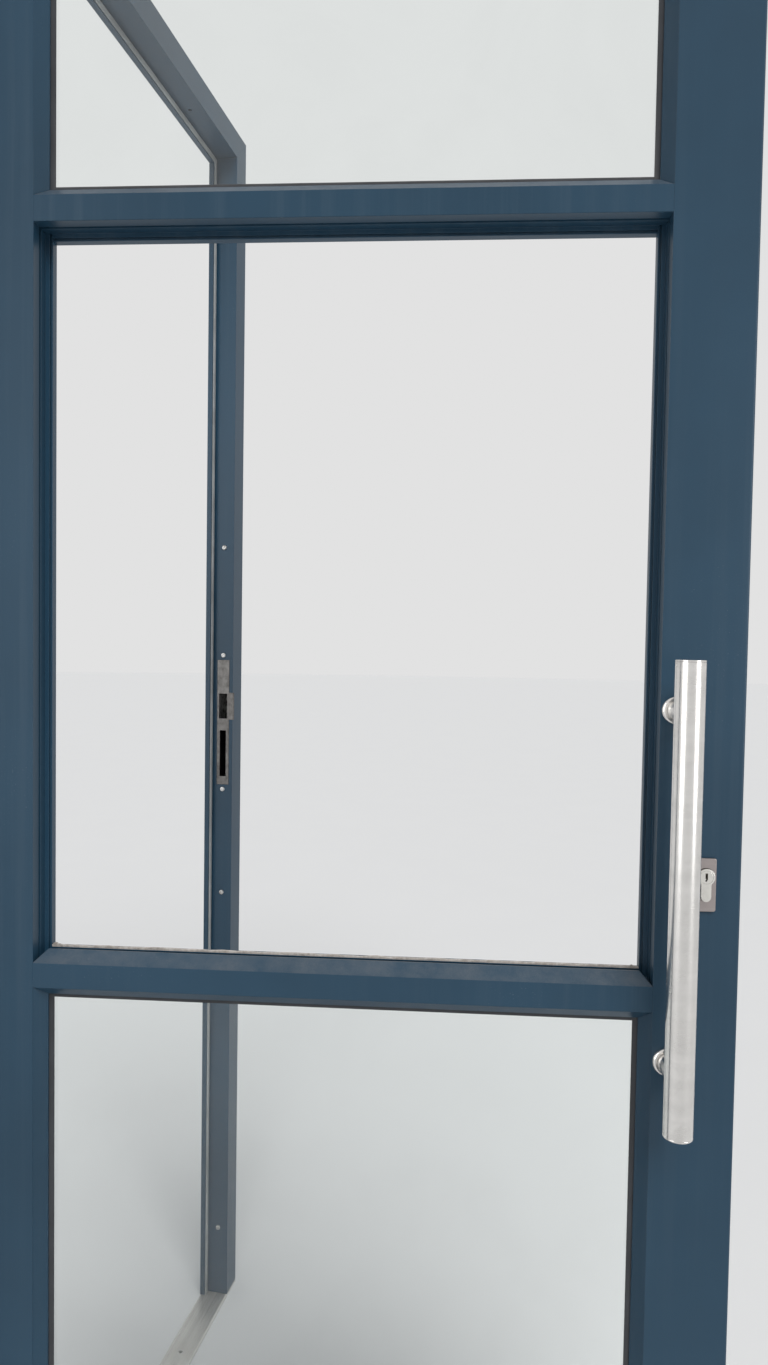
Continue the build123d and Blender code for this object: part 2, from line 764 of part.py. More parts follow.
def make_handle_posts():
    """Straight posts, coped to the bar at one end and tapped for their bolts at the other."""
    with BuildPart() as handle_posts:
        for height in post_heights:
            rod_y(handle_x, height, bar_y, face_y, post_radius)
        rod_z(handle_x, bar_y, bar_low, bar_high, bar_radius, Mode.SUBTRACT)
        for height in post_heights:
            rod_y(handle_x, height, face_y - handle_bolt_grip, face_y, handle_bolt_radius,
                  Mode.SUBTRACT)
    save(handle_posts, "handle_posts")


def make_handle_roses():
    with BuildPart() as handle_roses:
        for height in post_heights:
            rod_y(handle_x, height, face_y - rose_thickness, face_y, rose_radius)
        rims = handle_roses.edges().filter_by(GeomType.CIRCLE).group_by(Axis.Y)[0]
        fillet(rims, arris_radius)
        for height in post_heights:
            rod_y(handle_x, height, face_y - rose_thickness, face_y, post_radius, Mode.SUBTRACT)
    save(handle_roses, "handle_roses")


def make_handle_bolts():
    """The bolts that go through the stile into the posts, with domed caps on the push side."""
    with BuildPart() as handle_bolts:
        for height in post_heights:
            rod_y(handle_x, height, face_y - handle_bolt_grip, back_y, handle_bolt_radius)
            rod_y(handle_x, height, back_y, back_y + cap_nut_height, cap_nut_radius)
        rims = handle_bolts.edges().filter_by(GeomType.CIRCLE).group_by(Axis.Y)[-1]
        fillet(rims, cap_nut_height / 2)
    save(handle_bolts, "handle_bolts")


# Cylinder and escutcheons
cylinder_front = face_y - escutcheon_thickness - cylinder_proud
cylinder_back = back_y + escutcheon_thickness + cylinder_proud


def make_cylinder_body():
    cam_low = cylinder_height + cylinder_head_radius - cylinder_total_height + cylinder_bridge
    with BuildPart() as cylinder_body:
        extrude(cylinder_profile(lock_x, cylinder_back), amount=cylinder_back - cylinder_front)
        block(lock_x - cylinder_head_radius, lock_x + cylinder_head_radius,
              lock_y - cam_gap / 2, lock_y + cam_gap / 2,
              cam_low, cylinder_height + cylinder_head_radius, Mode.SUBTRACT)
        rod_y(lock_x, cylinder_height, cylinder_front, cylinder_back,
              plug_radius + plug_fit, Mode.SUBTRACT)
        rod_x(lock_y, cylinder_screw_height, lock_x - cylinder_leg_width / 2,
              lock_x + cylinder_leg_width / 2, cylinder_screw_radius, Mode.SUBTRACT)
    save(cylinder_body, "cylinder_body")


def make_plug(name, y0, y1, mouth, deep_end):
    """A round plug with its keyway cut from the mouth."""
    with BuildPart() as plug:
        rod_y(lock_x, cylinder_height, y0, y1, plug_radius)
        block(lock_x - keyway_width / 2, lock_x + keyway_width / 2,
              min(mouth, deep_end), max(mouth, deep_end),
              cylinder_height - keyway_height / 2, cylinder_height + keyway_height / 2,
              Mode.SUBTRACT)
    save(plug, name)


def make_lock_cam():
    half = cam_gap / 2 - cam_side_clearance
    with BuildPart() as lock_cam:
        rod_y(lock_x, cylinder_height, lock_y - half, lock_y + half, cam_hub_radius)
        block(lock_x - cam_lever_width / 2, lock_x + cam_lever_width / 2,
              lock_y - half, lock_y + half, cylinder_height, cylinder_height + cam_reach)
    save(lock_cam, "lock_cam")


def make_escutcheons():
    middle = cylinder_height + cylinder_head_radius - cylinder_total_height / 2
    with BuildPart() as escutcheons:
        for y0 in (face_y - escutcheon_thickness, back_y):
            block(lock_x - escutcheon_width / 2, lock_x + escutcheon_width / 2,
                  y0, y0 + escutcheon_thickness,
                  middle - escutcheon_height / 2, middle + escutcheon_height / 2)
        fillet(escutcheons.edges().filter_by(Axis.Y), escutcheon_corner)
        extrude(cylinder_profile(lock_x, cylinder_back, cylinder_cutout_fit),
                amount=cylinder_back - cylinder_front, mode=Mode.SUBTRACT)
    save(escutcheons, "escutcheons")


# Lock case and what it holds
def make_lock_faceplate():
    half = lock_plate_width / 2
    slot_half = bolt_thickness / 2 + bolt_slot_side
    with BuildPart() as lock_faceplate:
        block(case_front, leaf_edge, lock_y - half, lock_y + half,
              lock_plate_bottom, lock_plate_top)
        block(case_front, leaf_edge, lock_y - slot_half, lock_y + slot_half,
              bolt_pivot_height - bolt_half_width - bolt_slot_margin,
              bolt_pivot_height + bolt_reach + bolt_slot_margin, Mode.SUBTRACT)
        block(case_front, leaf_edge, lock_y - latch_width / 2 - latch_slot_fit,
              lock_y + latch_width / 2 + latch_slot_fit,
              latch_height - latch_body_height / 2 - latch_slot_fit,
              latch_height + latch_body_height / 2 + latch_slot_fit, Mode.SUBTRACT)
        for height, head in [(z, lock_screw_head) for z in lock_screw_heights] + [
                (cylinder_screw_height, cylinder_screw_radius + wall)]:
            shank = lock_screw_radius if head == lock_screw_head else cylinder_screw_radius
            rod_x(lock_y, height, case_front, leaf_edge, shank, Mode.SUBTRACT)
            with Locations(Location((leaf_edge, lock_y, height), (0, -90, 0))):
                Cone(head, shank, head - shank,
                     align=(Align.CENTER, Align.CENTER, Align.MIN), mode=Mode.SUBTRACT)
    save(lock_faceplate, "lock_faceplate")


def make_lock_mounting_blocks():
    """The blocks inside the stile's edge that the faceplate is screwed to."""
    side = leaf_depth / 2 - wall
    with BuildPart() as lock_mounting_blocks:
        block(case_front - mounting_block_depth, case_front, lock_y - side, lock_y + side,
              lock_plate_bottom - mounting_block_overlap, case_bottom)
        block(case_front - mounting_block_depth, case_front, lock_y - side, lock_y + side,
              lock_plate_top - 4 * mounting_block_overlap,
              lock_plate_top + mounting_block_overlap)
        for height in lock_screw_heights:
            rod_x(lock_y, height, case_front - mounting_block_depth, case_front,
                  lock_screw_radius, Mode.SUBTRACT)
    save(lock_mounting_blocks, "lock_mounting_blocks")


def make_lock_screws():
    """Two screws hold the faceplate, and a longer one goes through it into the cylinder."""
    with BuildPart() as lock_screws:
        for height in lock_screw_heights:
            countersunk_screw_x(lock_y, height, leaf_edge,
                                lock_screw_head, lock_screw_radius, lock_screw_length)
        countersunk_screw_x(lock_y, cylinder_screw_height, leaf_edge,
                            cylinder_screw_radius + wall, cylinder_screw_radius,
                            backset + cylinder_leg_width / 2)
    save(lock_screws, "lock_screws")


def make_lock_case():
    half = case_width / 2
    with BuildPart() as lock_case:
        block(case_front - case_depth, case_front, lock_y - half, lock_y + half,
              case_bottom, case_top)
        block(case_front - case_depth + case_wall, case_front,
              lock_y - half + case_wall, lock_y + half - case_wall,
              case_bottom + case_wall, case_top - case_wall, Mode.SUBTRACT)
        extrude(cylinder_profile(lock_x, back_y, cylinder_cutout_fit), amount=leaf_depth,
                mode=Mode.SUBTRACT)
        rod_y(bolt_pivot_x, bolt_pivot_height, lock_y - half, lock_y + half,
              pivot_pin_radius, Mode.SUBTRACT)
    save(lock_case, "lock_case")


def make_swing_bolt():
    """The pivoting bolt, drawn upright in the case as it is when the door is unlocked."""
    with BuildPart() as swing_bolt:
        plane = Plane((bolt_pivot_x, lock_y + bolt_thickness / 2, bolt_pivot_height),
                      x_dir=(1, 0, 0), z_dir=(0, -1, 0))
        with BuildSketch(plane) as outline:
            strip(-bolt_half_width, bolt_half_width, 0, bolt_reach)
            fillet(outline.vertices().group_by(Axis.Y)[-1], bolt_tip_radius)
            Circle(bolt_half_width)
            Circle(pivot_pin_radius + pivot_pin_fit, mode=Mode.SUBTRACT)
        extrude(amount=bolt_thickness)
    save(swing_bolt, "swing_bolt")


def make_bolt_pivot_pin():
    with BuildPart() as bolt_pivot_pin:
        rod_y(bolt_pivot_x, bolt_pivot_height, lock_y - case_width / 2, lock_y + case_width / 2,
              pivot_pin_radius)
    save(bolt_pivot_pin, "bolt_pivot_pin")


roller_x = leaf_edge + roller_projection - roller_radius
roller_height = latch_body_height - 2 * latch_ear - 2 * roller_gap


def make_latch_slide():
    """The carriage of the roller latch, wound in, and forked at the front for the roller."""
    body_front = roller_x - roller_radius - wall
    low = latch_height - latch_body_height / 2
    high = latch_height + latch_body_height / 2
    with BuildPart() as latch_slide:
        block(body_front - latch_body_length, body_front,
              lock_y - latch_width / 2, lock_y + latch_width / 2, low, high)
        for z0, z1 in ((low, low + latch_ear), (high - latch_ear, high)):
            block(body_front, roller_x, lock_y - latch_ear_radius, lock_y + latch_ear_radius,
                  z0, z1)
            rod_z(roller_x, lock_y, z0, z1, latch_ear_radius)
            rod_z(roller_x, lock_y, z0, z1, roller_pin_radius, Mode.SUBTRACT)
    save(latch_slide, "latch_slide")


def make_latch_roller():
    with BuildPart() as latch_roller:
        rod_z(roller_x, lock_y, latch_height - roller_height / 2,
              latch_height + roller_height / 2, roller_radius)
        fillet(latch_roller.edges().filter_by(GeomType.CIRCLE), inner_arris_radius)
        rod_z(roller_x, lock_y, latch_height - roller_height / 2,
              latch_height + roller_height / 2, roller_pin_radius + roller_pin_fit,
              Mode.SUBTRACT)
    save(latch_roller, "latch_roller")


def make_roller_pin():
    with BuildPart() as roller_pin:
        rod_z(roller_x, lock_y, latch_height - latch_body_height / 2,
              latch_height + latch_body_height / 2, roller_pin_radius)
    save(roller_pin, "roller_pin")


make_hinge_jamb()
make_lock_jamb()
make_head()
make_threshold()
make_corner_cleats()
make_stop_seals()
make_jamb_screws()
make_strike_plate()
make_strike_box()

make_hinge_stile()
make_lock_stile()
make_rail("top_rail", stile_face, False, "top", upper_light)
make_rail("transom_rail", cross_rail_face, True, "top", middle_light)
make_rail("mid_rail", cross_rail_face, True, "bottom", middle_light)
make_rail("bottom_rail", stile_face, False, "bottom", lower_light)
make_shear_blocks()
make_bottom_brush()

for light_name, light in (("upper", upper_light), ("lower", lower_light)):
    for side in ("left", "right", "bottom", "top"):
        make_bead(light_name + "_bead_" + side, side, light)
    make_glass(light_name + "_glass", light)
    make_gaskets(light_name + "_gaskets", light)
make_bead("middle_bead_bottom", "bottom", middle_light)
make_setting_blocks()
make_old_sealant()

for number, height in enumerate(hinge_heights, start=1):
    make_hinge_leaf("hinge_frame_plate_" + str(number), height, -1, on_leaf=False)
    make_hinge_leaf("hinge_leaf_plate_" + str(number), height, 1, on_leaf=True)
make_hinge_pins()
make_hinge_screws("hinge_frame_screws", -1, on_leaf=False)
make_hinge_screws("hinge_leaf_screws", 1, on_leaf=True)

make_handle_bar()
make_handle_caps()
make_handle_posts()
make_handle_roses()
make_handle_bolts()

make_cylinder_body()
cam_face = lock_y - cam_gap / 2 + cam_side_clearance
make_plug("key_plug", cylinder_front, cam_face, cylinder_front, cylinder_front + keyway_depth)
make_plug("rear_plug", lock_y + cam_gap / 2, cylinder_back,
          cylinder_back, cylinder_back - keyway_depth)
make_lock_cam()
make_escutcheons()

make_lock_faceplate()
make_lock_mounting_blocks()
make_lock_screws()
make_lock_case()
make_swing_bolt()
make_bolt_pivot_pin()
make_latch_slide()
make_latch_roller()
make_roller_pin()
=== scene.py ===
"""Finishes and fine pieces of the glazed entrance door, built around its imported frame."""

import json
import math

import bmesh
import bpy
from mathutils import Matrix, Vector, noise


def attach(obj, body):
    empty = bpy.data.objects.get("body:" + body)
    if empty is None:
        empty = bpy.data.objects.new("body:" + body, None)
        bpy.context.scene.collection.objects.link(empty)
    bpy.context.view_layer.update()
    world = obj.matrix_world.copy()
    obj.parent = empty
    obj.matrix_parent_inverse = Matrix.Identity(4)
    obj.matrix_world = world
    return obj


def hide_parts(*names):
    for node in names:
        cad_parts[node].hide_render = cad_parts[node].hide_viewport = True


bl_info = {
    "name": "Glazed Entrance Door",
    "version": (1, 0, 0),
    "blender": (4, 5, 0),
    "location": "3D View > Sidebar > Door",
    "description": "Dresses the coated door, its glazing, handle, lock and hinges, and sets the stage",
    "category": "Add Mesh",
}

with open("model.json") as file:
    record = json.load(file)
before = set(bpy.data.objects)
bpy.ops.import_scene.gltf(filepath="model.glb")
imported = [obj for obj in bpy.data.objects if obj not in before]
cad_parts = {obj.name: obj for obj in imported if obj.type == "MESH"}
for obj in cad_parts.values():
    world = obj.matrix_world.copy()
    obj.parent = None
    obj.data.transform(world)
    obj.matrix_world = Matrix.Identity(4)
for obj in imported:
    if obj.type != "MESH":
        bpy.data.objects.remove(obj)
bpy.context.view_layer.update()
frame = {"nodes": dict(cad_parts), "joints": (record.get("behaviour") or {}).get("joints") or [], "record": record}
MM = 0.001

# Sizes of the fittings' fine forms
GROOVES = 9
GROOVE_PITCH = 4.6 * MM
GROOVE_WIDTH = 1.6 * MM
GROOVE_DEPTH = 0.7 * MM
HINGE_PLATE = 3 * MM
HINGE_SCREW_PITCH = 36 * MM
HINGE_SCREW_HEAD = 4 * MM
HINGE_SCREW_SHANK = 2 * MM
SINK_PLAY = 0.15 * MM
HOLE_PLAY = 0.05 * MM
KNUCKLE_GAP = 0.5 * MM
HINGE_PIN = 4 * MM
PAN_HEAD = 4.5 * MM
PAN_HEIGHT = 2.2 * MM
PAN_SHANK = 2.5 * MM
STRIKE_TAB = 9 * MM
# Depth below the latch roller's centre from which the strike box is painted near black, as painted shade in its
# pocket
PAINTED_SHADE_DROP = 37 * MM
FACEPLATE_SCREW_HEAD = 3.6 * MM
CYLINDER_SCREW_DROP = 29 * MM
BOLT_RADIUS = 4 * MM
PROFILE_RADIUS = 8.5 * MM
PROFILE_LEG = 5 * MM
PROFILE_DROP = 19.5 * MM
CAM_GAP = 10 * MM
CAM_DROP = 16.5 * MM
PLUG_RADIUS = 6.5 * MM
PLUG_PLAY = 0.05 * MM
KEY_DEPTH = 16 * MM
ESCUTCHEON = 3 * MM
BRUSH_HOLDER = 2.6 * MM
TUFT_BRISTLES = 9
ROSE_EDGE = 2.4 * MM
ROSE_SEAT = 1.2 * MM
NUT_SOCKET_DEPTH = 2.6 * MM
NUT_SOCKET_RADIUS = 2.9 * MM
ROLLER_BORE = 1.55 * MM
SEALANT_CUTS = 380

# Widths of the eased edges
FINE_EDGE = 0.3 * MM
CAST_EDGE = 0.4 * MM
PANE_EDGE = 0.6 * MM
BLOCK_EDGE = 0.5 * MM
STRIKE_EDGE = 0.35 * MM
HINGE_EDGE = 0.5 * MM
HINGE_CAP_EDGE = 1.1 * MM
BAR_EDGE = 0.2 * MM
BAR_CAP_EDGE = 0.55 * MM
PROFILE_EDGE = 0.45 * MM
ESCUTCHEON_CORNER = 2.2 * MM
ESCUTCHEON_EDGE = 0.7 * MM
ROLLER_EDGE = 0.8 * MM
ROLLER_PIN_EDGE = 0.2 * MM
SEALANT_EDGE = 0.9 * MM

# The keyway's steps from the top down, each with its left, right, lower and upper side
KEYWAY = ((-1.2, 1.2, -1.4, 4.0), (-0.5, 1.2, -2.6, -1.4), (-1.2, 0.5, -4.0, -2.6))

# The sealant's lumps, each with its place along the line and its radius
SEALANT_LUMPS = ((3.5, 3.4), (8.0, 2.4), (13.5, 1.7), (30.0, 1.3), (611.0, 2.4), (606.0, 1.6))

# The camera's turn in degrees and its place beside the middle light, with the leaf shut
CAMERA_YAW, CAMERA_PITCH, CAMERA_ROLL = -3.69, 2.18, -0.89
CAMERA_ACROSS, CAMERA_AWAY = 0.4222, 0.9089

# The leaf is stored open. Its pieces are modelled shut, square to the axes, and then swung open.
leaf_hinge = next(joint for joint in frame["joints"] if joint["name"] == "leaf_hinge")
hinge_point = Vector(leaf_hinge["pos_m"])
swing = (Matrix.Translation(hinge_point)
         @ Matrix.Rotation(-math.radians(leaf_hinge["range_deg"][0]), 4, Vector(leaf_hinge["axis"]))
         @ Matrix.Translation(-hinge_point))
body_of_node = {node: body for body, members in frame["record"]["behaviour"]["bodies"].items()
                for node in members}


# Settings
def colour_setting(name, description, default):
    """A colour that a user can change."""
    return bpy.props.FloatVectorProperty(name=name, description=description, subtype="COLOR",
                                         size=3, default=default, min=0, max=1)


def width_setting(name, description, default, least, most):
    """A small width that a user can change, given in millimetres."""
    return bpy.props.FloatProperty(name=name, description=description, default=default * MM,
                                   min=least * MM, max=most * MM, precision=5, unit="LENGTH")


class DoorColours(bpy.types.PropertyGroup):
    """Colours of the door's finishes"""
    coat: colour_setting("Powder coat", "Colour of the coated frame, leaf and beads",
                         (0.014, 0.046, 0.080))
    coat_faded: colour_setting("Faded coat", "Colour of the coat where weather has dulled it",
                               (0.042, 0.078, 0.114))
    dust: colour_setting("Dust", "Colour of the dust that settles on ledges", (0.42, 0.38, 0.34))
    stainless: colour_setting("Stainless steel", "Colour of the handle, faceplate and strike",
                              (0.78, 0.76, 0.735))
    escutcheon: colour_setting("Escutcheon steel", "Colour of the plates round the cylinder",
                               (0.37, 0.33, 0.32))
    nickel: colour_setting("Nickel", "Colour of the cylinder and its plugs", (0.80, 0.78, 0.73))
    zinc: colour_setting("Zinc plating", "Colour of the screws, lock case and bolt", (0.62, 0.62, 0.61))
    rubber: colour_setting("Gasket rubber", "Colour of the glazing gaskets", (0.035, 0.037, 0.041))
    seal: colour_setting("Stop seal", "Colour of the soft seal on the door stop", (0.30, 0.31, 0.31))
    sealant: colour_setting("Old sealant", "Colour of the cured sealant left on the mid rail",
                            (0.52, 0.47, 0.42))
    glass: colour_setting("Glass", "Tint of the panes", (0.955, 0.985, 0.975))


class DoorSizes(bpy.types.PropertyGroup):
    """Small sizes of the door's fine pieces"""
    arris: width_setting("Arris", "Width of the eased edges of the extrusions", 0.35, 0.05, 0.6)
    bead_arris: width_setting("Bead arris", "Width of the eased edges of the glazing beads",
                              0.3, 0.05, 0.5)
    rubber_edge: width_setting("Gasket edge", "Width of the rounded edges of the gaskets",
                               0.22, 0.05, 0.24)
    bristle_pitch: width_setting("Bristle pitch", "Distance between the tufts of the bottom brush",
                                 1.7, 1, 8)
    fine_steps: bpy.props.IntProperty(
        name="Round steps", description="Sides of the handle's and cylinder's round pieces",
        default=96, min=24, max=192)


class DoorStage(bpy.types.PropertyGroup):
    """Floor, lamps and camera"""
    floor: colour_setting("Floor", "Colour of the studio floor", (0.86, 0.86, 0.855))
    background: colour_setting("Background", "Colour behind the door", (0.76, 0.76, 0.76))
    daylight: bpy.props.FloatProperty(
        name="Daylight", description="Strength of the broad soft light from above the viewer",
        default=2.15, min=0)
    daylight_spread: bpy.props.FloatProperty(
        name="Daylight spread", description="Angle over which that light comes", default=0.6,
        min=0, max=3, subtype="ANGLE")
    softbox_power: bpy.props.FloatProperty(
        name="Softboxes", description="Power of each tall softbox", default=46, min=0,
        unit="POWER")
    eye_height: bpy.props.FloatProperty(
        name="Eye height", description="Height of the camera above the floor", default=1.2627,
        min=0.1, max=3, unit="LENGTH")
    lens: bpy.props.FloatProperty(
        name="Lens", description="Focal length in millimetres", default=24.0, min=10, max=200)


def colours():
    return bpy.context.scene.door_colours


def sizes():
    return bpy.context.scene.door_sizes


# Modelling helpers
def deselect():
    """Leave no object selected."""
    bpy.ops.object.select_all(action="DESELECT")


def only(piece):
    """Leave one object selected and active."""
    deselect()
    piece.select_set(True)
    bpy.context.view_layer.objects.active = piece


def named(name):
    """Name the object that an operator has just added, and settle its place in its mesh."""
    piece = bpy.context.object
    piece.name = piece.data.name = name
    bpy.ops.object.transform_apply(location=True, rotation=True, scale=True)
    return piece


def shut_box(node):
    """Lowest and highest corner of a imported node, with the leaf shut."""
    back = swing.inverted() if body_of_node[node] != "frame" else Matrix()
    points = [back @ vertex.co for vertex in frame["nodes"][node].data.vertices]
    return (Vector([min(p[i] for p in points) for i in range(3)]),
            Vector([max(p[i] for p in points) for i in range(3)]))


def centre_of(node):
    """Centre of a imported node's box, with the leaf shut."""
    low, high = shut_box(node)
    return [(low[i] + high[i]) / 2 for i in range(3)]


def radius_of(node):
    """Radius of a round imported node, from its width."""
    low, high = shut_box(node)
    return (high.x - low.x) / 2


def cuboid(name, low, high):
    """Add a box between its lowest and highest corner."""
    low, high = Vector(low), Vector(high)
    deselect()
    bpy.ops.mesh.primitive_cube_add(size=1, location=(low + high) / 2)
    bpy.context.object.scale = high - low
    return named(name)


def rod(name, start, end, radius, steps=48, tip_radius=None):
    """Add a cylinder, or a cone when a tip radius is given, between two points."""
    start, end = Vector(start), Vector(end)
    turn = (end - start).to_track_quat("Z", "Y").to_euler()
    deselect()
    bpy.ops.mesh.primitive_cone_add(
        vertices=steps, radius1=radius, radius2=radius if tip_radius is None else tip_radius,
        depth=(end - start).length, location=(start + end) / 2, rotation=turn)
    return named(name)


def pick(piece, kind, choose):
    """Enter edit mode with the edges or faces selected that a test chooses, and count them."""
    only(piece)
    bpy.ops.object.mode_set(mode="EDIT")
    bpy.ops.mesh.select_mode(type=kind)
    bpy.ops.mesh.select_all(action="DESELECT")
    shell = bmesh.from_edit_mesh(piece.data)
    chosen = [part for part in (shell.edges if kind == "EDGE" else shell.faces) if choose(part)]
    for part in chosen:
        part.select_set(True)
    bmesh.update_edit_mesh(piece.data)
    return len(chosen)


def bevel(piece, width, choose, segments=2):
    """Ease the edges that a test chooses, and keep the flat faces flat."""
    if pick(piece, "EDGE", lambda edge: len(edge.link_faces) == 2 and choose(edge)):
        bpy.ops.mesh.bevel(offset=width, segments=segments, affect="EDGES")
    bpy.ops.object.mode_set(mode="OBJECT")
    return piece


def sharp(angle=35, shortest=0.0):
    """Choose edges that turn by more than an angle and are longer than a length."""
    limit = math.radians(angle)
    return lambda edge: edge.calc_length() > shortest and edge.calc_face_angle(0) > limit


def lies_at(part, axis, place):
    """Tell whether an edge or face lies at one place along an axis."""
    return all(abs(vertex.co[axis] - place) < 0.01 * MM for vertex in part.verts)


def rim(axis, *places):
    """Choose sharp edges that lie at one of some places along an axis."""
    return lambda edge: edge.calc_face_angle(0) > 1 and any(
        lies_at(edge, axis, place) for place in places)


def smooth(piece, angle=32):
    """Shade by angle, and weigh the normals so that large faces stay flat."""
    only(piece)
    bpy.ops.object.shade_smooth_by_angle(angle=math.radians(angle))
    piece.modifiers.new("Flat faces", "WEIGHTED_NORMAL").keep_sharp = True
    bpy.ops.object.modifier_apply(modifier="Flat faces")
    return piece


def combine(piece, tool, operation):
    """Cut or unite two pieces, keep the first and remove the tool."""
    only(piece)
    change = piece.modifiers.new("Combine", "BOOLEAN")
    change.operation = operation
    change.solver = "EXACT"
    change.object = tool
    bpy.ops.object.modifier_apply(modifier="Combine")
    bpy.data.objects.remove(tool)
    return piece


def cut(piece, tool):
    """Cut a tool from a piece."""
    return combine(piece, tool, "DIFFERENCE")


def join(name, pieces):
    """Make one object of several."""
    deselect()
    for piece in pieces:
        piece.select_set(True)
    bpy.context.view_layer.objects.active = pieces[0]
    if len(pieces) > 1:
        bpy.ops.object.join()
    pieces[0].name = pieces[0].data.name = name
    return pieces[0]


def copied(piece, matrix):
    """Copy a piece with its own mesh to another place."""
    twin = piece.copy()
    twin.data = piece.data.copy()
    twin.data.transform(matrix)
    bpy.context.scene.collection.objects.link(twin)
    return twin


def repeated(piece, *steps):
    """Join a piece with copies of it that are moved by some steps."""
    return join(piece.name, [piece, *(copied(piece, Matrix.Translation(step)) for step in steps)])


def pressed(value, low, high):
    """Press a measure that lies outside a range to just beyond its end."""
    kept = min(max(value, low), high)
    return kept + 0.04 * (value - kept)


def clear_flats(piece):
    """Merge double points and clear the lines across flat faces."""
    only(piece)
    bpy.ops.object.mode_set(mode="EDIT")
    bpy.ops.mesh.select_all(action="SELECT")
    bpy.ops.mesh.remove_doubles(threshold=0.01 * MM)
    bpy.ops.mesh.dissolve_limited(angle_limit=math.radians(0.5))
    bpy.ops.object.mode_set(mode="OBJECT")
    return piece


def copy_of_node(node, name):
    """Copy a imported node's mesh, with its loose triangles merged."""
    piece = bpy.data.objects.new(name, frame["nodes"][node].data.copy())
    piece.data.name = name
    bpy.context.scene.collection.objects.link(piece)
    return clear_flats(piece)


def dress(piece, material, *nodes, hang=False):
    """Give a finished piece its material, its body and the nodes that it stands for."""
    if hang:
        piece.data.transform(swing)
    piece.data.materials.clear()
    piece.data.materials.append(material)
    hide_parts(*nodes)
    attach(piece, body_of_node[nodes[0]])
    return piece


def eased(node, suffix, material, edge, shortest=4 * MM, segments=2):
    """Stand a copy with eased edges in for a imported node."""
    piece = copy_of_node(node, node + suffix)
    bevel(piece, edge, sharp(shortest=shortest), segments)
    return dress(smooth(piece), material, node)


def joined(node, suffix, material, parts, hang=True):
    """Stand new parts, joined and shaded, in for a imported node."""
    return dress(smooth(join(node + suffix, parts)), material, node, hang=hang)


# Material helpers
def put(tree, kind, inputs=None, **settings):
    """Add a node, set its options, and set or link its inputs by name or number."""
    made = tree.nodes.new(kind)
    for key, value in settings.items():
        setattr(made, key, value)
    for key, value in (inputs or {}).items():
        if isinstance(value, bpy.types.NodeSocket):
            tree.links.new(value, made.inputs[key])
        else:
            made.inputs[key].default_value = value
    return made


def mixed(tree, share, first, second):
    """Mix two colours."""
    first, second = (colour if isinstance(colour, bpy.types.NodeSocket) else (*colour, 1)
                     for colour in (first, second))
    return put(tree, "ShaderNodeMix", {0: share, 6: first, 7: second}, data_type="RGBA").outputs[2]


def toned(colour, factor):
    """A colour made darker or lighter."""
    return tuple(channel * factor for channel in colour)


def calculated(tree, operation, first, second=0.0, third=0.0, clamp=False):
    """The result of a sum on two or three values."""
    return put(tree, "ShaderNodeMath", {0: first, 1: second, 2: third}, operation=operation,
               use_clamp=clamp).outputs[0]


def product(tree, first, second, clamp=False):
    """Two values multiplied."""
    return calculated(tree, "MULTIPLY", first, second, clamp=clamp)


def raised(tree, value, factor, base, clamp=False):
    """A value times a factor, on top of a base."""
    return calculated(tree, "MULTIPLY_ADD", value, factor, base, clamp)


def ramped(tree, value, low, high, to_low=0.0, to_high=1.0):
    """Spread a range of values over another one."""
    return put(tree, "ShaderNodeMapRange", {
        "Value": value, "From Min": low, "From Max": high, "To Min": to_low,
        "To Max": to_high}).outputs[0]


def object_place(tree, stretch=None):
    """The place on the object, stretched where a scale is given."""
    place = put(tree, "ShaderNodeTexCoord").outputs["Object"]
    if stretch is None:
        return place
    return put(tree, "ShaderNodeMapping", {"Vector": place, "Scale": stretch}).outputs[0]


def noisy(tree, place, scale, detail, roughness=0.5, distortion=0.0):
    """A noise pattern's values at a place."""
    return put(tree, "ShaderNodeTexNoise", {
        "Vector": place, "Scale": scale, "Detail": detail, "Roughness": roughness,
        "Distortion": distortion}).outputs[0]


def new_group(name, inputs, outputs):
    """Start a shader node group and return its tree, what it is given and what it puts out."""
    tree = bpy.data.node_groups.new(name, "ShaderNodeTree")
    for label, kind, default in inputs:
        socket = tree.interface.new_socket(name=label, in_out="INPUT", socket_type=kind)
        socket.default_value = default
    for label in outputs:
        tree.interface.new_socket(name=label, in_out="OUTPUT", socket_type="NodeSocketFloat")
    return tree, tree.nodes.new("NodeGroupInput").outputs, tree.nodes.new("NodeGroupOutput").inputs


def group(tree, name, **inputs):
    """Place a shader node group in a material, with its own values, and return its outputs."""
    if name not in bpy.data.node_groups:
        GROUPS[name]()
    made = tree.nodes.new("ShaderNodeGroup")
    made.node_tree = bpy.data.node_groups[name]
    for key, value in inputs.items():
        made.inputs[key.replace("_", " ")].default_value = value
    return made.outputs


def coat_grain_group():
    """The fine orange peel of a powder coat, and broad cloudy differences in its colour."""
    tree, given, made = new_group("Coat Grain", [
        ("Peel Scale", "NodeSocketFloat", 520.0), ("Cloud Scale", "NodeSocketFloat", 3.0)],
        ["Height", "Cloud"])
    place = object_place(tree)
    peel = noisy(tree, place, given["Peel Scale"], 2.0, 0.4)
    cloud = noisy(tree, place, given["Cloud Scale"], 5.0, 0.6)
    tree.links.new(peel, made["Height"])
    tree.links.new(ramped(tree, cloud, 0.35, 0.68), made["Cloud"])


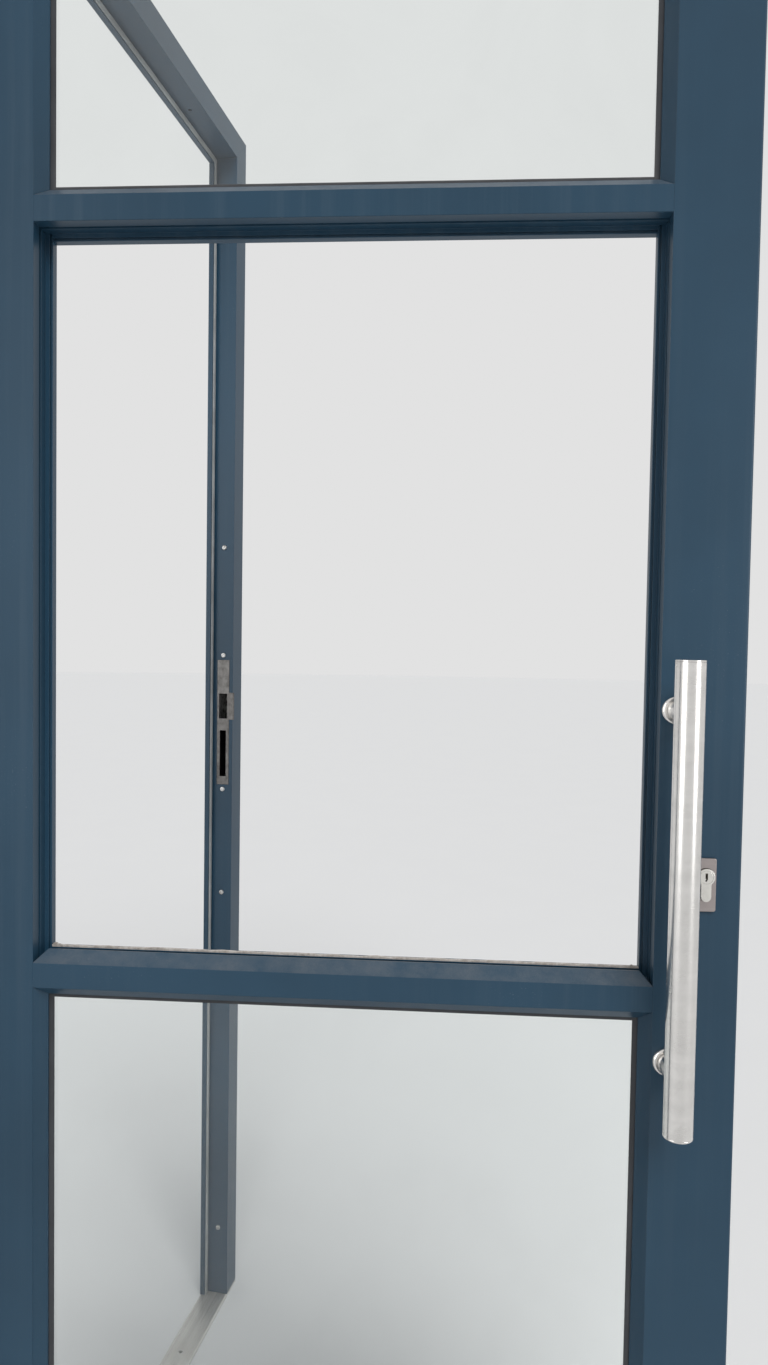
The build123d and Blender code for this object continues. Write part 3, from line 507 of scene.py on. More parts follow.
def settled_dust_group():
    """Dust on what faces up, patchy, and thicker in some places."""
    tree, given, made = new_group("Settled Dust", [
        ("Amount", "NodeSocketFloat", 0.5), ("Patch Scale", "NodeSocketFloat", 35.0)], ["Mask"])
    normal = put(tree, "ShaderNodeNewGeometry").outputs["Normal"]
    up = put(tree, "ShaderNodeSeparateXYZ", {"Vector": normal}).outputs["Z"]
    place = object_place(tree)
    patches = noisy(tree, place, given["Patch Scale"], 6.0, 0.7)
    grains = noisy(tree, place, 900.0, 1.0)
    lying = product(tree, ramped(tree, up, 0.15, 0.7), ramped(tree, patches, 0.3, 0.72, 0.25, 1.0))
    speckled = product(tree, lying, ramped(tree, grains, 0.3, 0.7, 0.7, 1.0))
    tree.links.new(product(tree, speckled, given["Amount"], clamp=True), made["Mask"])


def weather_runs_group():
    """Faint streaks that rain has drawn down a face."""
    tree, given, made = new_group("Weather Runs", [("Amount", "NodeSocketFloat", 0.5)], ["Mask"])
    runs = noisy(tree, object_place(tree, (70.0, 70.0, 1.6)), 1.0, 4.0, 0.65)
    broad = noisy(tree, object_place(tree, (2.0, 2.0, 1.2)), 1.0, 2.0)
    both = product(tree, ramped(tree, runs, 0.48, 0.78), ramped(tree, broad, 0.4, 0.65))
    tree.links.new(product(tree, both, given["Amount"], clamp=True), made["Mask"])


def drawn_lines_group():
    """The fine lines that brushing leaves in metal, with faint bands across them."""
    tree, given, made = new_group("Drawn Lines", [
        ("Stretch", "NodeSocketVector", (40.0, 40.0, 4000.0))], ["Height", "Bands"])
    drawn = object_place(tree, given["Stretch"])
    tree.links.new(noisy(tree, drawn, 1.0, 3.0, 0.7), made["Height"])
    tree.links.new(ramped(tree, noisy(tree, drawn, 0.04, 4.0, 0.6), 0.3, 0.7), made["Bands"])


def handling_marks_group():
    """Smears of fingers and rags, as soft patches."""
    tree, given, made = new_group("Handling Marks", [
        ("Patch Scale", "NodeSocketFloat", 14.0), ("Amount", "NodeSocketFloat", 1.0)], ["Smears"])
    patches = noisy(tree, object_place(tree), given["Patch Scale"], 5.0, 0.6, 1.2)
    smears = product(tree, ramped(tree, patches, 0.45, 0.75), given["Amount"])
    tree.links.new(smears, made["Smears"])


GROUPS = {
    "Coat Grain": coat_grain_group,
    "Settled Dust": settled_dust_group,
    "Weather Runs": weather_runs_group,
    "Drawn Lines": drawn_lines_group,
    "Handling Marks": handling_marks_group,
}


def finish(build):
    """Turn the builder of a shader tree into a function that finds its material or makes it."""
    def found(*values, name=build.__name__):
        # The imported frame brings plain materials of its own, under the names of their slots.
        name = "door_" + name
        if name not in bpy.data.materials:
            made = bpy.data.materials.new(name)
            made.use_nodes = True
            build(made.node_tree, made.node_tree.nodes["Principled BSDF"], *values)
        return bpy.data.materials[name]
    return found


def feed(tree, shader, **inputs):
    """Set or link the shader's own sockets."""
    for key, value in inputs.items():
        socket = shader.inputs[key.replace("_", " ")]
        if isinstance(value, bpy.types.NodeSocket):
            tree.links.new(value, socket)
        elif hasattr(value, "__len__"):
            socket.default_value = (*value, 1)
        else:
            socket.default_value = value


def bump(tree, height, strength, distance):
    """The normal of a surface raised by a height."""
    return put(tree, "ShaderNodeBump", {
        "Height": height, "Strength": strength, "Distance": distance}).outputs[0]


@finish
def powder_coat(tree, shader):
    """Blue-black powder coat with its peel, rain streaks, fine specks and a little dust."""
    grain = group(tree, "Coat Grain")
    runs = group(tree, "Weather Runs", Amount=0.55)
    specks = ramped(tree, group(tree, "Coat Grain", Cloud_Scale=620.0)["Cloud"], 0.96, 1.0)
    sparse = product(tree, specks, ramped(tree, grain["Cloud"], 0.6, 0.9))
    dust = group(tree, "Settled Dust", Amount=0.2)
    base = mixed(tree, grain["Cloud"], colours().coat, toned(colours().coat, 1.22))
    faded = mixed(tree, runs["Mask"], base, colours().coat_faded)
    specked = mixed(tree, product(tree, sparse, 0.45), faded, (0.24, 0.27, 0.29))
    dusted = mixed(tree, dust["Mask"], specked, colours().dust)
    sheen = raised(tree, grain["Cloud"], 0.07, 0.35)
    duller = raised(tree, dust["Mask"], 0.5, sheen)
    rough = raised(tree, runs["Mask"], 0.18, duller, clamp=True)
    feed(tree, shader, Base_Color=dusted, Roughness=rough, Specular_IOR_Level=0.36,
         Normal=bump(tree, grain["Height"], 0.35, 0.00012))


@finish
def brushed_metal(tree, shader, colour, stretch, roughness, strength=0.25):
    """Bare or plated metal with fine drawn lines and the smears of hands."""
    lines = group(tree, "Drawn Lines", Stretch=stretch)
    marks = group(tree, "Handling Marks", Patch_Scale=24.0, Amount=0.8)
    tone = mixed(tree, lines["Bands"], toned(colour, 0.94), toned(colour, 1.05))
    smeared = mixed(tree, marks["Smears"], tone, toned(colour, 0.8))
    rough = raised(tree, lines["Height"], 0.16, roughness - 0.08)
    rougher = raised(tree, marks["Smears"], 0.12, rough)
    feed(tree, shader, Base_Color=smeared, Metallic=1.0, Roughness=rougher,
         Normal=bump(tree, lines["Height"], strength, 0.00006))


def stainless_tube():
    """Tube steel, brushed round the bar."""
    return brushed_metal(colours().stainless, (45.0, 45.0, 2600.0), 0.21, 0.16, name="stainless_tube")


@finish
def stainless_flat(tree, shader):
    """Flat stainless steel, rolled along its length, set much darker than the tube steel as painted shade, and
    tarnished in blotches.
    """
    lines = group(tree, "Drawn Lines", Stretch=(2600.0, 2600.0, 45.0))
    marks = group(tree, "Handling Marks", Patch_Scale=70.0, Amount=1.0)
    worn = group(tree, "Coat Grain", Peel_Scale=300.0, Cloud_Scale=95.0)
    # Painted shade: the flat steel is set at 0.23 of the handle's steel; the darker blotches below are tarnish.
    steel = toned(colours().stainless, 0.23)
    tone = mixed(tree, lines["Bands"], steel, toned(steel, 0.75))
    tarnished = mixed(tree, worn["Cloud"], tone, (0.085, 0.081, 0.078))
    feed(tree, shader, Base_Color=tarnished, Metallic=1.0,
         Roughness=raised(tree, marks["Smears"], 0.15, 0.4),
         Normal=bump(tree, lines["Height"], 0.25, 0.00006))


def escutcheon_steel():
    return brushed_metal(colours().escutcheon, (60.0, 60.0, 3200.0), 0.36, name="escutcheon_steel")


def nickel():
    return brushed_metal(colours().nickel, (900.0, 900.0, 900.0), 0.2, 0.12, name="nickel")


@finish
def zinc_plate(tree, shader):
    """Zinc plate with its spangle and brown stains."""
    place = object_place(tree)
    spangle = put(tree, "ShaderNodeTexVoronoi", {"Vector": place, "Scale": 700.0})
    stain = noisy(tree, place, 120.0, 4.0)
    tone = mixed(tree, spangle.outputs["Distance"], colours().zinc, toned(colours().zinc, 0.72))
    stained = mixed(tree, ramped(tree, stain, 0.56, 0.72), tone, (0.24, 0.21, 0.18))
    feed(tree, shader, Base_Color=stained, Metallic=1.0,
         Roughness=ramped(tree, stain, 0.35, 0.7, 0.3, 0.55))


@finish
def strike_box_zinc(tree, shader, floor):
    """Zinc plate with stains, and painted shade below a height: near black and not metallic there, where the deep
    pocket lies.
    """
    place = object_place(tree)
    height = put(tree, "ShaderNodeSeparateXYZ", {"Vector": place}).outputs["Z"]
    lit = ramped(tree, height, floor, floor + 2 * MM)
    stain = ramped(tree, noisy(tree, place, 150.0, 5.0), 0.42, 0.66)
    tone = mixed(tree, stain, (0.42, 0.42, 0.41), (0.09, 0.085, 0.08))
    # Below the height the colour is near black and the metal is turned off: painted shade in the pocket.
    feed(tree, shader, Base_Color=mixed(tree, lit, (0.006, 0.005, 0.005), tone),
         Metallic=lit, Roughness=0.5)


def mill_aluminium():
    return brushed_metal((0.62, 0.62, 0.61), (30.0, 1800.0, 1800.0), 0.38, name="mill_aluminium")


@finish
def grooved_aluminium(tree, shader):
    """Trodden aluminium, with dust in its grooves."""
    dust = group(tree, "Settled Dust", Amount=0.6, Patch_Scale=22.0)
    lines = group(tree, "Drawn Lines", Stretch=(30.0, 1800.0, 1800.0))
    tone = mixed(tree, lines["Bands"], (0.5, 0.5, 0.49), (0.64, 0.64, 0.62))
    worn = mixed(tree, dust["Mask"], tone, colours().dust)
    metal = ramped(tree, dust["Mask"], 0.0, 0.7, 1.0, 0.2)
    feed(tree, shader, Base_Color=worn, Metallic=metal,
         Roughness=raised(tree, dust["Mask"], 0.3, 0.36),
         Normal=bump(tree, lines["Height"], 0.25, 0.00006))


@finish
def rubber(tree, shader, colour):
    """Dull rubber or pile, dusty where it faces up."""
    grain = group(tree, "Coat Grain", Peel_Scale=900.0, Cloud_Scale=18.0)
    dust = group(tree, "Settled Dust", Amount=0.5)
    tone = mixed(tree, grain["Cloud"], colour, toned(colour, 1.5))
    dusted = mixed(tree, dust["Mask"], tone, colours().dust)
    feed(tree, shader, Base_Color=dusted, Specular_IOR_Level=0.35,
         Roughness=raised(tree, grain["Cloud"], 0.15, 0.55),
         Normal=bump(tree, grain["Height"], 0.3, 0.0001))


@finish
def old_sealant(tree, shader):
    """Cured sealant, rough and patchy, with pale specks."""
    grain = group(tree, "Coat Grain", Peel_Scale=420.0, Cloud_Scale=60.0)
    specks = group(tree, "Coat Grain", Peel_Scale=1500.0, Cloud_Scale=260.0)
    dull = mixed(tree, grain["Cloud"], (0.30, 0.26, 0.225), colours().sealant)
    pale = mixed(tree, product(tree, specks["Cloud"], 0.55), dull, (0.74, 0.72, 0.69))
    feed(tree, shader, Base_Color=pale, Roughness=0.75, Specular_IOR_Level=0.3,
         Normal=bump(tree, grain["Height"], 0.7, 0.0006))


@finish
def pane_glass(tree, shader):
    """Clear pane glass with faint smears."""
    marks = group(tree, "Handling Marks", Patch_Scale=5.0, Amount=1.0)
    tint = mixed(tree, marks["Smears"], colours().glass, toned(colours().glass, 0.97))
    feed(tree, shader, Base_Color=tint, IOR=1.5, Transmission_Weight=1.0,
         Roughness=product(tree, marks["Smears"], 0.025))


@finish
def plastic(tree, shader, colour, roughness=0.45):
    """Moulded plastic, a little cloudy and handled."""
    grain = group(tree, "Coat Grain", Peel_Scale=700.0, Cloud_Scale=30.0)
    marks = group(tree, "Handling Marks", Patch_Scale=60.0, Amount=0.8)
    tone = mixed(tree, grain["Cloud"], colour, toned(colour, 0.88))
    worn = mixed(tree, marks["Smears"], tone, toned(colour, 0.6))
    feed(tree, shader, Base_Color=worn, Roughness=raised(tree, grain["Cloud"], 0.12, roughness),
         Normal=bump(tree, grain["Height"], 0.2, 0.0001))


@finish
def studio_floor(tree, shader, colour):
    """Pale, faintly clouded studio floor."""
    grain = noisy(tree, object_place(tree), 3.0, 4.0)
    tone = mixed(tree, grain, colour, toned(colour, 0.98))
    feed(tree, shader, Base_Color=tone, Roughness=0.8, Specular_IOR_Level=0.15)


# Operators, one for each piece or group of like pieces
class DOOR_OT_coated_members(bpy.types.Operator):
    """Ease the edges of the stiles, rails, jambs and head, and coat them"""
    bl_idname = "door.coated_members"
    bl_label = "Coated Members"

    def execute(self, context):
        for node in ("hinge_stile", "lock_stile", "top_rail", "transom_rail", "mid_rail",
                     "bottom_rail", "hinge_jamb", "lock_jamb", "head"):
            eased(node, "_coated", powder_coat(), sizes().arris)
        return {"FINISHED"}


class DOOR_OT_threshold(bpy.types.Operator):
    """Ease the threshold's edges and cut the grooves along its top"""
    bl_idname = "door.threshold"
    bl_label = "Threshold"

    def execute(self, context):
        plate = copy_of_node("threshold", "threshold_grooved")
        low, high = shut_box("threshold")
        middle = (low.y + high.y) / 2
        first = middle - (GROOVES - 1) / 2 * GROOVE_PITCH
        groove = cuboid("groove", (low.x - MM, first - GROOVE_WIDTH / 2, high.z - GROOVE_DEPTH),
                        (high.x + MM, first + GROOVE_WIDTH / 2, high.z + MM))
        cut(plate, repeated(groove, *((0, step * GROOVE_PITCH, 0) for step in range(1, GROOVES))))
        sharp_and_long = sharp(shortest=4 * MM)
        bevel(plate, sizes().arris, lambda edge: sharp_and_long(edge) and any(
            abs(vertex.co.y - middle) > GROOVES / 2 * GROOVE_PITCH for vertex in edge.verts))
        dress(smooth(plate), grooved_aluminium(), "threshold")
        return {"FINISHED"}


class DOOR_OT_beads(bpy.types.Operator):
    """Ease the glazing beads, with their mitred ends, and coat them"""
    bl_idname = "door.beads"
    bl_label = "Glazing Beads"

    def execute(self, context):
        for node in sorted(node for node in frame["nodes"] if "_bead_" in node):
            eased(node, "_coated", powder_coat(), sizes().bead_arris, shortest=1.2 * MM, segments=3)
        return {"FINISHED"}


class DOOR_OT_glazing(bpy.types.Operator):
    """Grind the panes' edges, round the gaskets and set the packers"""
    bl_idname = "door.glazing"
    bl_label = "Panes and Gaskets"

    def execute(self, context):
        for light in ("upper", "lower"):
            eased(light + "_glass", "_ground", pane_glass(), PANE_EDGE)
            eased(light + "_gaskets", "_moulded", rubber(colours().rubber, name="gasket_rubber"),
                  sizes().rubber_edge, shortest=0.8 * MM)
        packer = plastic((0.05, 0.05, 0.055), name="packer_plastic")
        eased("setting_blocks", "_moulded", packer, FINE_EDGE)
        return {"FINISHED"}


class DOOR_OT_old_sealant(bpy.types.Operator):
    """Lay the uneven line of cured sealant that the missing pane has left on the mid rail"""
    bl_idname = "door.old_sealant"
    bl_label = "Old Sealant"

    def execute(self, context):
        low, high = shut_box("old_sealant")
        line = cuboid("old_sealant_line", low, high)
        pick(line, "EDGE", lambda edge: edge.calc_length() > (high.x - low.x) / 2)
        bpy.ops.mesh.subdivide(number_cuts=SEALANT_CUTS)
        bpy.ops.object.mode_set(mode="OBJECT")
        bevel(line, SEALANT_EDGE, rim(2, high.z), 3)
        middle = (low + high) / 2
        for vertex in line.data.vertices:
            along = vertex.co.x
            swell = noise.noise((along * 55, 0.3, 0.7)) + 0.5 * noise.noise((along * 260, 4.0, 1.0))
            if vertex.co.z > low.z + 0.1 * MM:
                vertex.co.z += swell * 0.9 * MM - 0.3 * MM
            if vertex.co.y < middle.y:
                vertex.co.y += (0.25 + 0.7 * noise.noise((along * 90, 9.0, vertex.co.z * 400))) * MM
        lumps = []
        for x, size in SEALANT_LUMPS:
            deselect()
            bpy.ops.mesh.primitive_ico_sphere_add(
                subdivisions=4, radius=size * MM,
                location=(low.x + x * MM, middle.y - 0.4 * MM, low.z + size * 0.35 * MM))
            lump = named("sealant_lump")
            for vertex in lump.data.vertices:
                swelled = vertex.co.z + noise.noise(vertex.co * 500) * 0.6 * MM
                vertex.co.z = pressed(swelled, low.z, math.inf)
                vertex.co.y = pressed(vertex.co.y, low.y, high.y + 0.8 * MM)
            lumps.append(lump)
        line = join("old_sealant_line", [line, *lumps])
        dress(smooth(line, 60), old_sealant(), "old_sealant", hang=True)
        return {"FINISHED"}


def countersink(plate, x, front, z):
    """Cut the three countersunk holes of a hinge plate, from the lowest one up."""
    hole, mouth = HINGE_SCREW_SHANK + HOLE_PLAY, HINGE_SCREW_HEAD + SINK_PLAY
    bottom, over = front + mouth - hole, 0.5 * MM
    sink = rod("sink", (x, bottom, z), (x, front - over, z), hole, 40, tip_radius=mouth + over)
    pick(sink, "FACE", lambda face: lies_at(face, 1, bottom))
    bpy.ops.mesh.extrude_region_move(
        TRANSFORM_OT_translate={"value": (0, front + HINGE_PLATE + MM - bottom, 0)})
    bpy.ops.object.mode_set(mode="OBJECT")
    return cut(plate, repeated(sink, (0, 0, HINGE_SCREW_PITCH), (0, 0, 2 * HINGE_SCREW_PITCH)))


class DOOR_OT_hinges(bpy.types.Operator):
    """Build the butt hinges: plates with knuckles on the frame and the leaf, and capped pins"""
    bl_idname = "door.hinges"
    bl_label = "Hinges"

    def execute(self, context):
        radius = radius_of("hinge_pins")
        axis_x, axis_y = centre_of("hinge_pins")[:2]
        first = shut_box("hinge_frame_plate_1")[0].z
        lifts = [(0, 0, shut_box("hinge_frame_plate_" + number)[0].z - first) for number in "123"]
        models = {}
        for side, hand in (("frame", -1), ("leaf", 1)):
            low, high = shut_box("hinge_" + side + "_plate_1")
            third = (high.z - low.z) / 3
            far = low.x if hand < 0 else high.x
            inner = axis_x + hand * (radius + KNUCKLE_GAP)
            front = high.y - HINGE_PLATE
            plate = cuboid("plate", (min(far, inner), front, low.z), (max(far, inner), high.y, high.z))
            countersink(plate, centre_of("hinge_" + side + "_screws")[0], front,
                        (low.z + high.z) / 2 - HINGE_SCREW_PITCH)
            bevel(plate, HINGE_EDGE, lambda edge: edge.calc_length() > 20 * MM, 3)
            parts = [plate]
            for step in ((1,) if side == "leaf" else (0, 2)):
                bottom = low.z + step * third + (KNUCKLE_GAP / 2 if step else 0)
                top = low.z + (step + 1) * third - (KNUCKLE_GAP / 2 if step < 2 else 0)
                root = cuboid("root", (min(inner, axis_x) - 0.3 * MM * (hand < 0), front, bottom),
                              (max(inner, axis_x) + 0.3 * MM * (hand > 0), high.y - 0.02 * MM, top))
                knuckle = rod("knuckle", (axis_x, axis_y, bottom), (axis_x, axis_y, top), radius)
                parts += [root, bevel(knuckle, HINGE_EDGE, sharp(60), 3)]
            models[side] = join("plate", parts)
        for number, lift in zip("123", lifts):
            for side, model in models.items():
                joined("hinge_" + side + "_plate_" + number, "_formed", powder_coat(),
                       [copied(model, Matrix.Translation(lift))], hang=side == "leaf")
        for model in models.values():
            bpy.data.objects.remove(model)
        low, high = shut_box("hinge_frame_plate_1")
        parts = []
        for end, tip in ((low.z, low.z - 2 * MM), (high.z, high.z + 2 * MM)):
            cap = rod("cap", (axis_x, axis_y, end), (axis_x, axis_y, tip), radius)
            parts.append(bevel(cap, HINGE_CAP_EDGE, rim(2, tip), 4))
        parts.append(rod("pin", (axis_x, axis_y, low.z), (axis_x, axis_y, high.z), HINGE_PIN, 32))
        pins = repeated(join("pin", parts), *lifts[1:])
        joined("hinge_pins", "_capped", stainless_tube(), [pins], hang=False)
        return {"FINISHED"}


def cross_recess(head, top, reach, width, depth):
    """Cut a cross recess into a screw head that faces up."""
    for along, across in ((reach, width), (width, reach)):
        cut(head, cuboid("cutter", (-along, -across, top - depth), (along, across, top + depth)))


def pan_head_screw(length):
    """A pan-headed screw that points down, with the underside of its head at the origin."""
    head = rod("pan_head", (0, 0, 0), (0, 0, PAN_HEIGHT), PAN_HEAD, 40)
    bevel(head, PAN_HEIGHT * 0.75, rim(2, PAN_HEIGHT), 5)
    cross_recess(head, PAN_HEIGHT, PAN_HEAD * 0.52, PAN_HEAD * 0.11, PAN_HEIGHT * 0.55)
    stem = rod("stem", (0, 0, -length), (0, 0, 0.1 * MM), PAN_SHANK, 24)
    return smooth(join("pan_head_screw", [head, stem]))


def countersunk_screw(radius, shank, length):
    """A countersunk screw that points down, with the top of its head at the origin."""
    head = rod("flat_head", (0, 0, -(radius - shank)), (0, 0, 0), shank, 40, tip_radius=radius)
    cross_recess(head, 0, radius * 0.55, radius * 0.12, 0.8 * MM)
    stem = rod("stem", (0, 0, -length), (0, 0, -(radius - shank) + 0.05 * MM), shank, 24)
    return smooth(join("countersunk_screw", [head, stem]))


def set_screws(model, places, facing):
    """Copy a screw to its places, each turned a little differently."""
    turn = Vector(facing).to_track_quat("Z", "Y").to_matrix().to_4x4()
    copies = [copied(model, Matrix.Translation(place) @ turn @ Matrix.Rotation(0.7 * number, 4, "Z"))
              for number, place in enumerate(places)]
    bpy.data.objects.remove(model)
    return copies


class DOOR_OT_fixings(bpy.types.Operator):
    """Drive the screws of the jamb, strike, hinges, faceplate and cylinder"""
    bl_idname = "door.fixings"
    bl_label = "Screws"

    def execute(self, context):
        low, high = shut_box("jamb_screws")
        strike_low, strike_high = shut_box("strike_plate")
        x, y = low.x + PAN_HEIGHT, (low.y + high.y) / 2
        middle, rise = (low.z + high.z) / 2, (high.z - low.z) / 2 - PAN_HEAD
        long_screws = set_screws(
            pan_head_screw(45 * MM), [(x, y, middle + step * rise) for step in (-1, 0, 1)], (-1, 0, 0))
        short_screws = set_screws(
            pan_head_screw(3.6 * MM),
            [(x, y, strike_low.z - STRIKE_TAB), (x, y, strike_high.z + STRIKE_TAB)], (-1, 0, 0))
        dress(join("jamb_screws_recessed", long_screws + short_screws), zinc_plate(), "jamb_screws")
        for node in ("hinge_frame_screws", "hinge_leaf_screws"):
            low, high = shut_box(node)
            plates = [shut_box(node.replace("screws", "plate_" + number)) for number in "123"]
            places = [((low.x + high.x) / 2, low.y, (bottom.z + top.z) / 2 + step * HINGE_SCREW_PITCH)
                      for bottom, top in plates for step in (-1, 0, 1)]
            screws = set_screws(countersunk_screw(HINGE_SCREW_HEAD, HINGE_SCREW_SHANK, 14 * MM),
                                places, (0, -1, 0))
            dress(join(node + "_recessed", screws), zinc_plate(), node, hang="leaf" in node)
        low, high = shut_box("lock_screws")
        y = (low.y + high.y) / 2
        small = set_screws(countersunk_screw(FACEPLATE_SCREW_HEAD, 2 * MM, 12 * MM),
                           [(high.x, y, low.z + FACEPLATE_SCREW_HEAD),
                            (high.x, y, high.z - FACEPLATE_SCREW_HEAD)], (1, 0, 0))
        large = set_screws(countersunk_screw(4.5 * MM, 2.5 * MM, 40 * MM),
                           [(high.x, y, shut_box("cylinder_body")[1].z - CYLINDER_SCREW_DROP)],
                           (1, 0, 0))
        dress(join("lock_screws_recessed", small + large), zinc_plate(), "lock_screws", hang=True)
        return {"FINISHED"}


class DOOR_OT_handle(bpy.types.Operator):
    """Turn the pull handle's bar, caps, posts and roses, and its domed cap nuts"""
    bl_idname = "door.handle"
    bl_label = "Pull Handle"

    def execute(self, context):
        steel, steps = stainless_tube(), sizes().fine_steps
        low, high = shut_box("handle_bar")
        x, y = centre_of("handle_bar")[:2]
        radius = radius_of("handle_bar")
        bar = rod("bar", (x, y, low.z), (x, y, high.z), radius, steps)
        joined("handle_bar", "_turned", steel, [bevel(bar, BAR_EDGE, sharp(60))])
        end_low, end_high = shut_box("handle_caps")
        caps = []
        for outer, inner in ((end_low.z, low.z), (end_high.z, high.z)):
            cap = rod("cap", (x, y, inner), (x, y, outer), radius, steps)
            caps.append(bevel(cap, BAR_CAP_EDGE, sharp(60), 3))
        joined("handle_caps", "_turned", steel, caps)
        low, high = shut_box("handle_posts")
        post_radius = radius_of("handle_posts")
        rose_low, rose_high = shut_box("handle_roses")
        bolt_low, bolt_high = shut_box("handle_bolts")
        back = shut_box("lock_stile")[1].y
        z, rise = low.z + post_radius, (0, 0, high.z - low.z - 2 * post_radius)
        post = rod("post", (x, y + radius * 0.7, z), (x, high.y, z), post_radius, 72)
        rose = rod("rose", (x, rose_high.y, z), (x, rose_low.y, z), radius_of("handle_roses"), 72)
        bevel(rose, ROSE_EDGE, rim(1, rose_low.y), 6)
        cut(rose, rod("seat", (x, rose_low.y + ROSE_SEAT, z), (x, rose_low.y - MM, z),
                      post_radius + 0.5 * MM, 72))
        nut = rod("nut", (x, back, z), (x, bolt_high.y, z), radius_of("handle_bolts"), 72)
        bevel(nut, ROSE_EDGE, rim(1, bolt_high.y), 6)
        cut(nut, rod("socket", (x, bolt_high.y - NUT_SOCKET_DEPTH, z), (x, bolt_high.y + MM, z),
                     NUT_SOCKET_RADIUS, 6))
        shaft = rod("shaft", (x, bolt_low.y, z), (x, back + 0.5 * MM, z), BOLT_RADIUS, 32)
        for node, part in (("handle_posts", post), ("handle_roses", rose),
                           ("handle_bolts", join("bolt", [nut, shaft]))):
            joined(node, "_turned", steel, [repeated(part, rise)])
        return {"FINISHED"}


def keyhole_shape(name, x, z, front, back, grow=0.0):
    """The outline of a profile cylinder, drawn between two depths round its plug's axis."""
    steps, bottom, leg_half = sizes().fine_steps, z - PROFILE_DROP, PROFILE_LEG + grow
    shape = rod(name, (x, front, z), (x, back, z), PROFILE_RADIUS + grow, steps)
    leg = cuboid("leg", (x - leg_half, front, bottom), (x + leg_half, back, z))
    foot = rod("foot", (x, front, bottom), (x, back, bottom), leg_half, steps)
    return clear_flats(combine(combine(shape, leg, "UNION"), foot, "UNION"))


class DOOR_OT_cylinder(bpy.types.Operator):
    """Make the profile cylinder with its plugs and keyways, the cam and the escutcheons"""
    bl_idname = "door.cylinder"
    bl_label = "Lock Cylinder"

    def execute(self, context):
        low, high = shut_box("cylinder_body")
        x, middle = centre_of("cylinder_body")[:2]
        z = high.z - PROFILE_RADIUS
        steps = sizes().fine_steps
        body = keyhole_shape("body", x, z, low.y, high.y)
        bevel(body, PROFILE_EDGE, rim(1, low.y, high.y), 3)
        cut(body, rod("bore", (x, low.y - MM, z), (x, high.y + MM, z), PLUG_RADIUS + PLUG_PLAY, steps))
        cut(body, cuboid("gap", (low.x - MM, middle - CAM_GAP / 2, z - CAM_DROP),
                         (high.x + MM, middle + CAM_GAP / 2, high.z + MM)))
        joined("cylinder_body", "_cast", nickel(), [body])
        for node, facing in (("key_plug", -1), ("rear_plug", 1)):
            low, high = shut_box(node)
            mouth, inner = (low.y, high.y) if facing < 0 else (high.y, low.y)
            plug = rod("plug", (x, inner, z), (x, mouth, z), PLUG_RADIUS, steps)
            bevel(plug, FINE_EDGE, rim(1, mouth))
            near, far = sorted((mouth - facing * KEY_DEPTH, mouth + facing * MM))
            for left, right, bottom, top in KEYWAY:
                ward = cuboid("ward", (x + left * MM, near, z + (bottom - 0.01) * MM),
                              (x + right * MM, far, z + top * MM))
                cut(plug, ward)
            joined(node, "_cut", nickel(), [plug])
        eased("lock_cam", "_cast", zinc_plate(), FINE_EDGE, shortest=2 * MM)
        low, high = shut_box("escutcheons")
        plates = []
        for front, outer in ((low.y, low.y), (high.y - ESCUTCHEON, high.y)):
            back = front + ESCUTCHEON
            plate = cuboid("plate", (low.x, front, low.z), (high.x, back, high.z))
            bevel(plate, ESCUTCHEON_CORNER,
                  lambda edge: abs(edge.verts[0].co.y - edge.verts[1].co.y) > MM, 6)
            bevel(plate, ESCUTCHEON_EDGE, rim(1, outer), 3)
            hole = keyhole_shape("cutter", x, z, front - MM, back + MM, 0.4 * MM)
            plates.append(cut(plate, hole))
        joined("escutcheons", "_pressed", escutcheon_steel(), plates)
        return {"FINISHED"}


class DOOR_OT_lock(bpy.types.Operator):
    """Finish the lock's faceplate, case, swing bolt and mounting blocks"""
    bl_idname = "door.lock"
    bl_label = "Lock"

    def execute(self, context):
        eased("lock_faceplate", "_brushed", stainless_flat(), FINE_EDGE, shortest=1.5 * MM)
        eased("lock_case", "_folded", zinc_plate(), FINE_EDGE)
        eased("lock_mounting_blocks", "_cast", zinc_plate(), CAST_EDGE)
        eased("swing_bolt", "_laminated", zinc_plate(), CAST_EDGE, shortest=0.5 * MM)
        eased("bolt_pivot_pin", "_turned", zinc_plate(), FINE_EDGE, shortest=0.5 * MM)
        return {"FINISHED"}


class DOOR_OT_latch(bpy.types.Operator):
    """Finish the roller latch: its slide, roller and pin"""
    bl_idname = "door.latch"
    bl_label = "Roller Latch"

    def execute(self, context):
        eased("latch_slide", "_cast", zinc_plate(), FINE_EDGE, shortest=1.5 * MM)
        eased("roller_pin", "_turned", zinc_plate(), ROLLER_PIN_EDGE, shortest=0.3 * MM)
        low, high = shut_box("latch_roller")
        centre = (low + high) / 2
        roller = rod("roller", (centre.x, centre.y, low.z), (centre.x, centre.y, high.z),
                     radius_of("latch_roller"), sizes().fine_steps)
        bevel(roller, ROLLER_EDGE, sharp(60), 4)
        cut(roller, rod("bore", (centre.x, centre.y, low.z - MM), (centre.x, centre.y, high.z + MM),
                        ROLLER_BORE, 32))
        nylon = plastic((0.62, 0.60, 0.55), 0.35, name="roller_nylon")
        joined("latch_roller", "_turned", nylon, [roller])
        return {"FINISHED"}


class DOOR_OT_strike(bpy.types.Operator):
    """Finish the strike plate with its rounded lip, and the box behind it"""
    bl_idname = "door.strike"
    bl_label = "Strike"

    def execute(self, context):
        eased("strike_plate", "_brushed", stainless_flat(), STRIKE_EDGE, shortest=1.5 * MM, segments=3)
        # The strike box is painted near black below this height, as painted shade in its deep pocket.
        pocket = centre_of("latch_roller")[2] - PAINTED_SHADE_DROP
        eased("strike_box", "_folded", strike_box_zinc(pocket), FINE_EDGE)
        return {"FINISHED"}


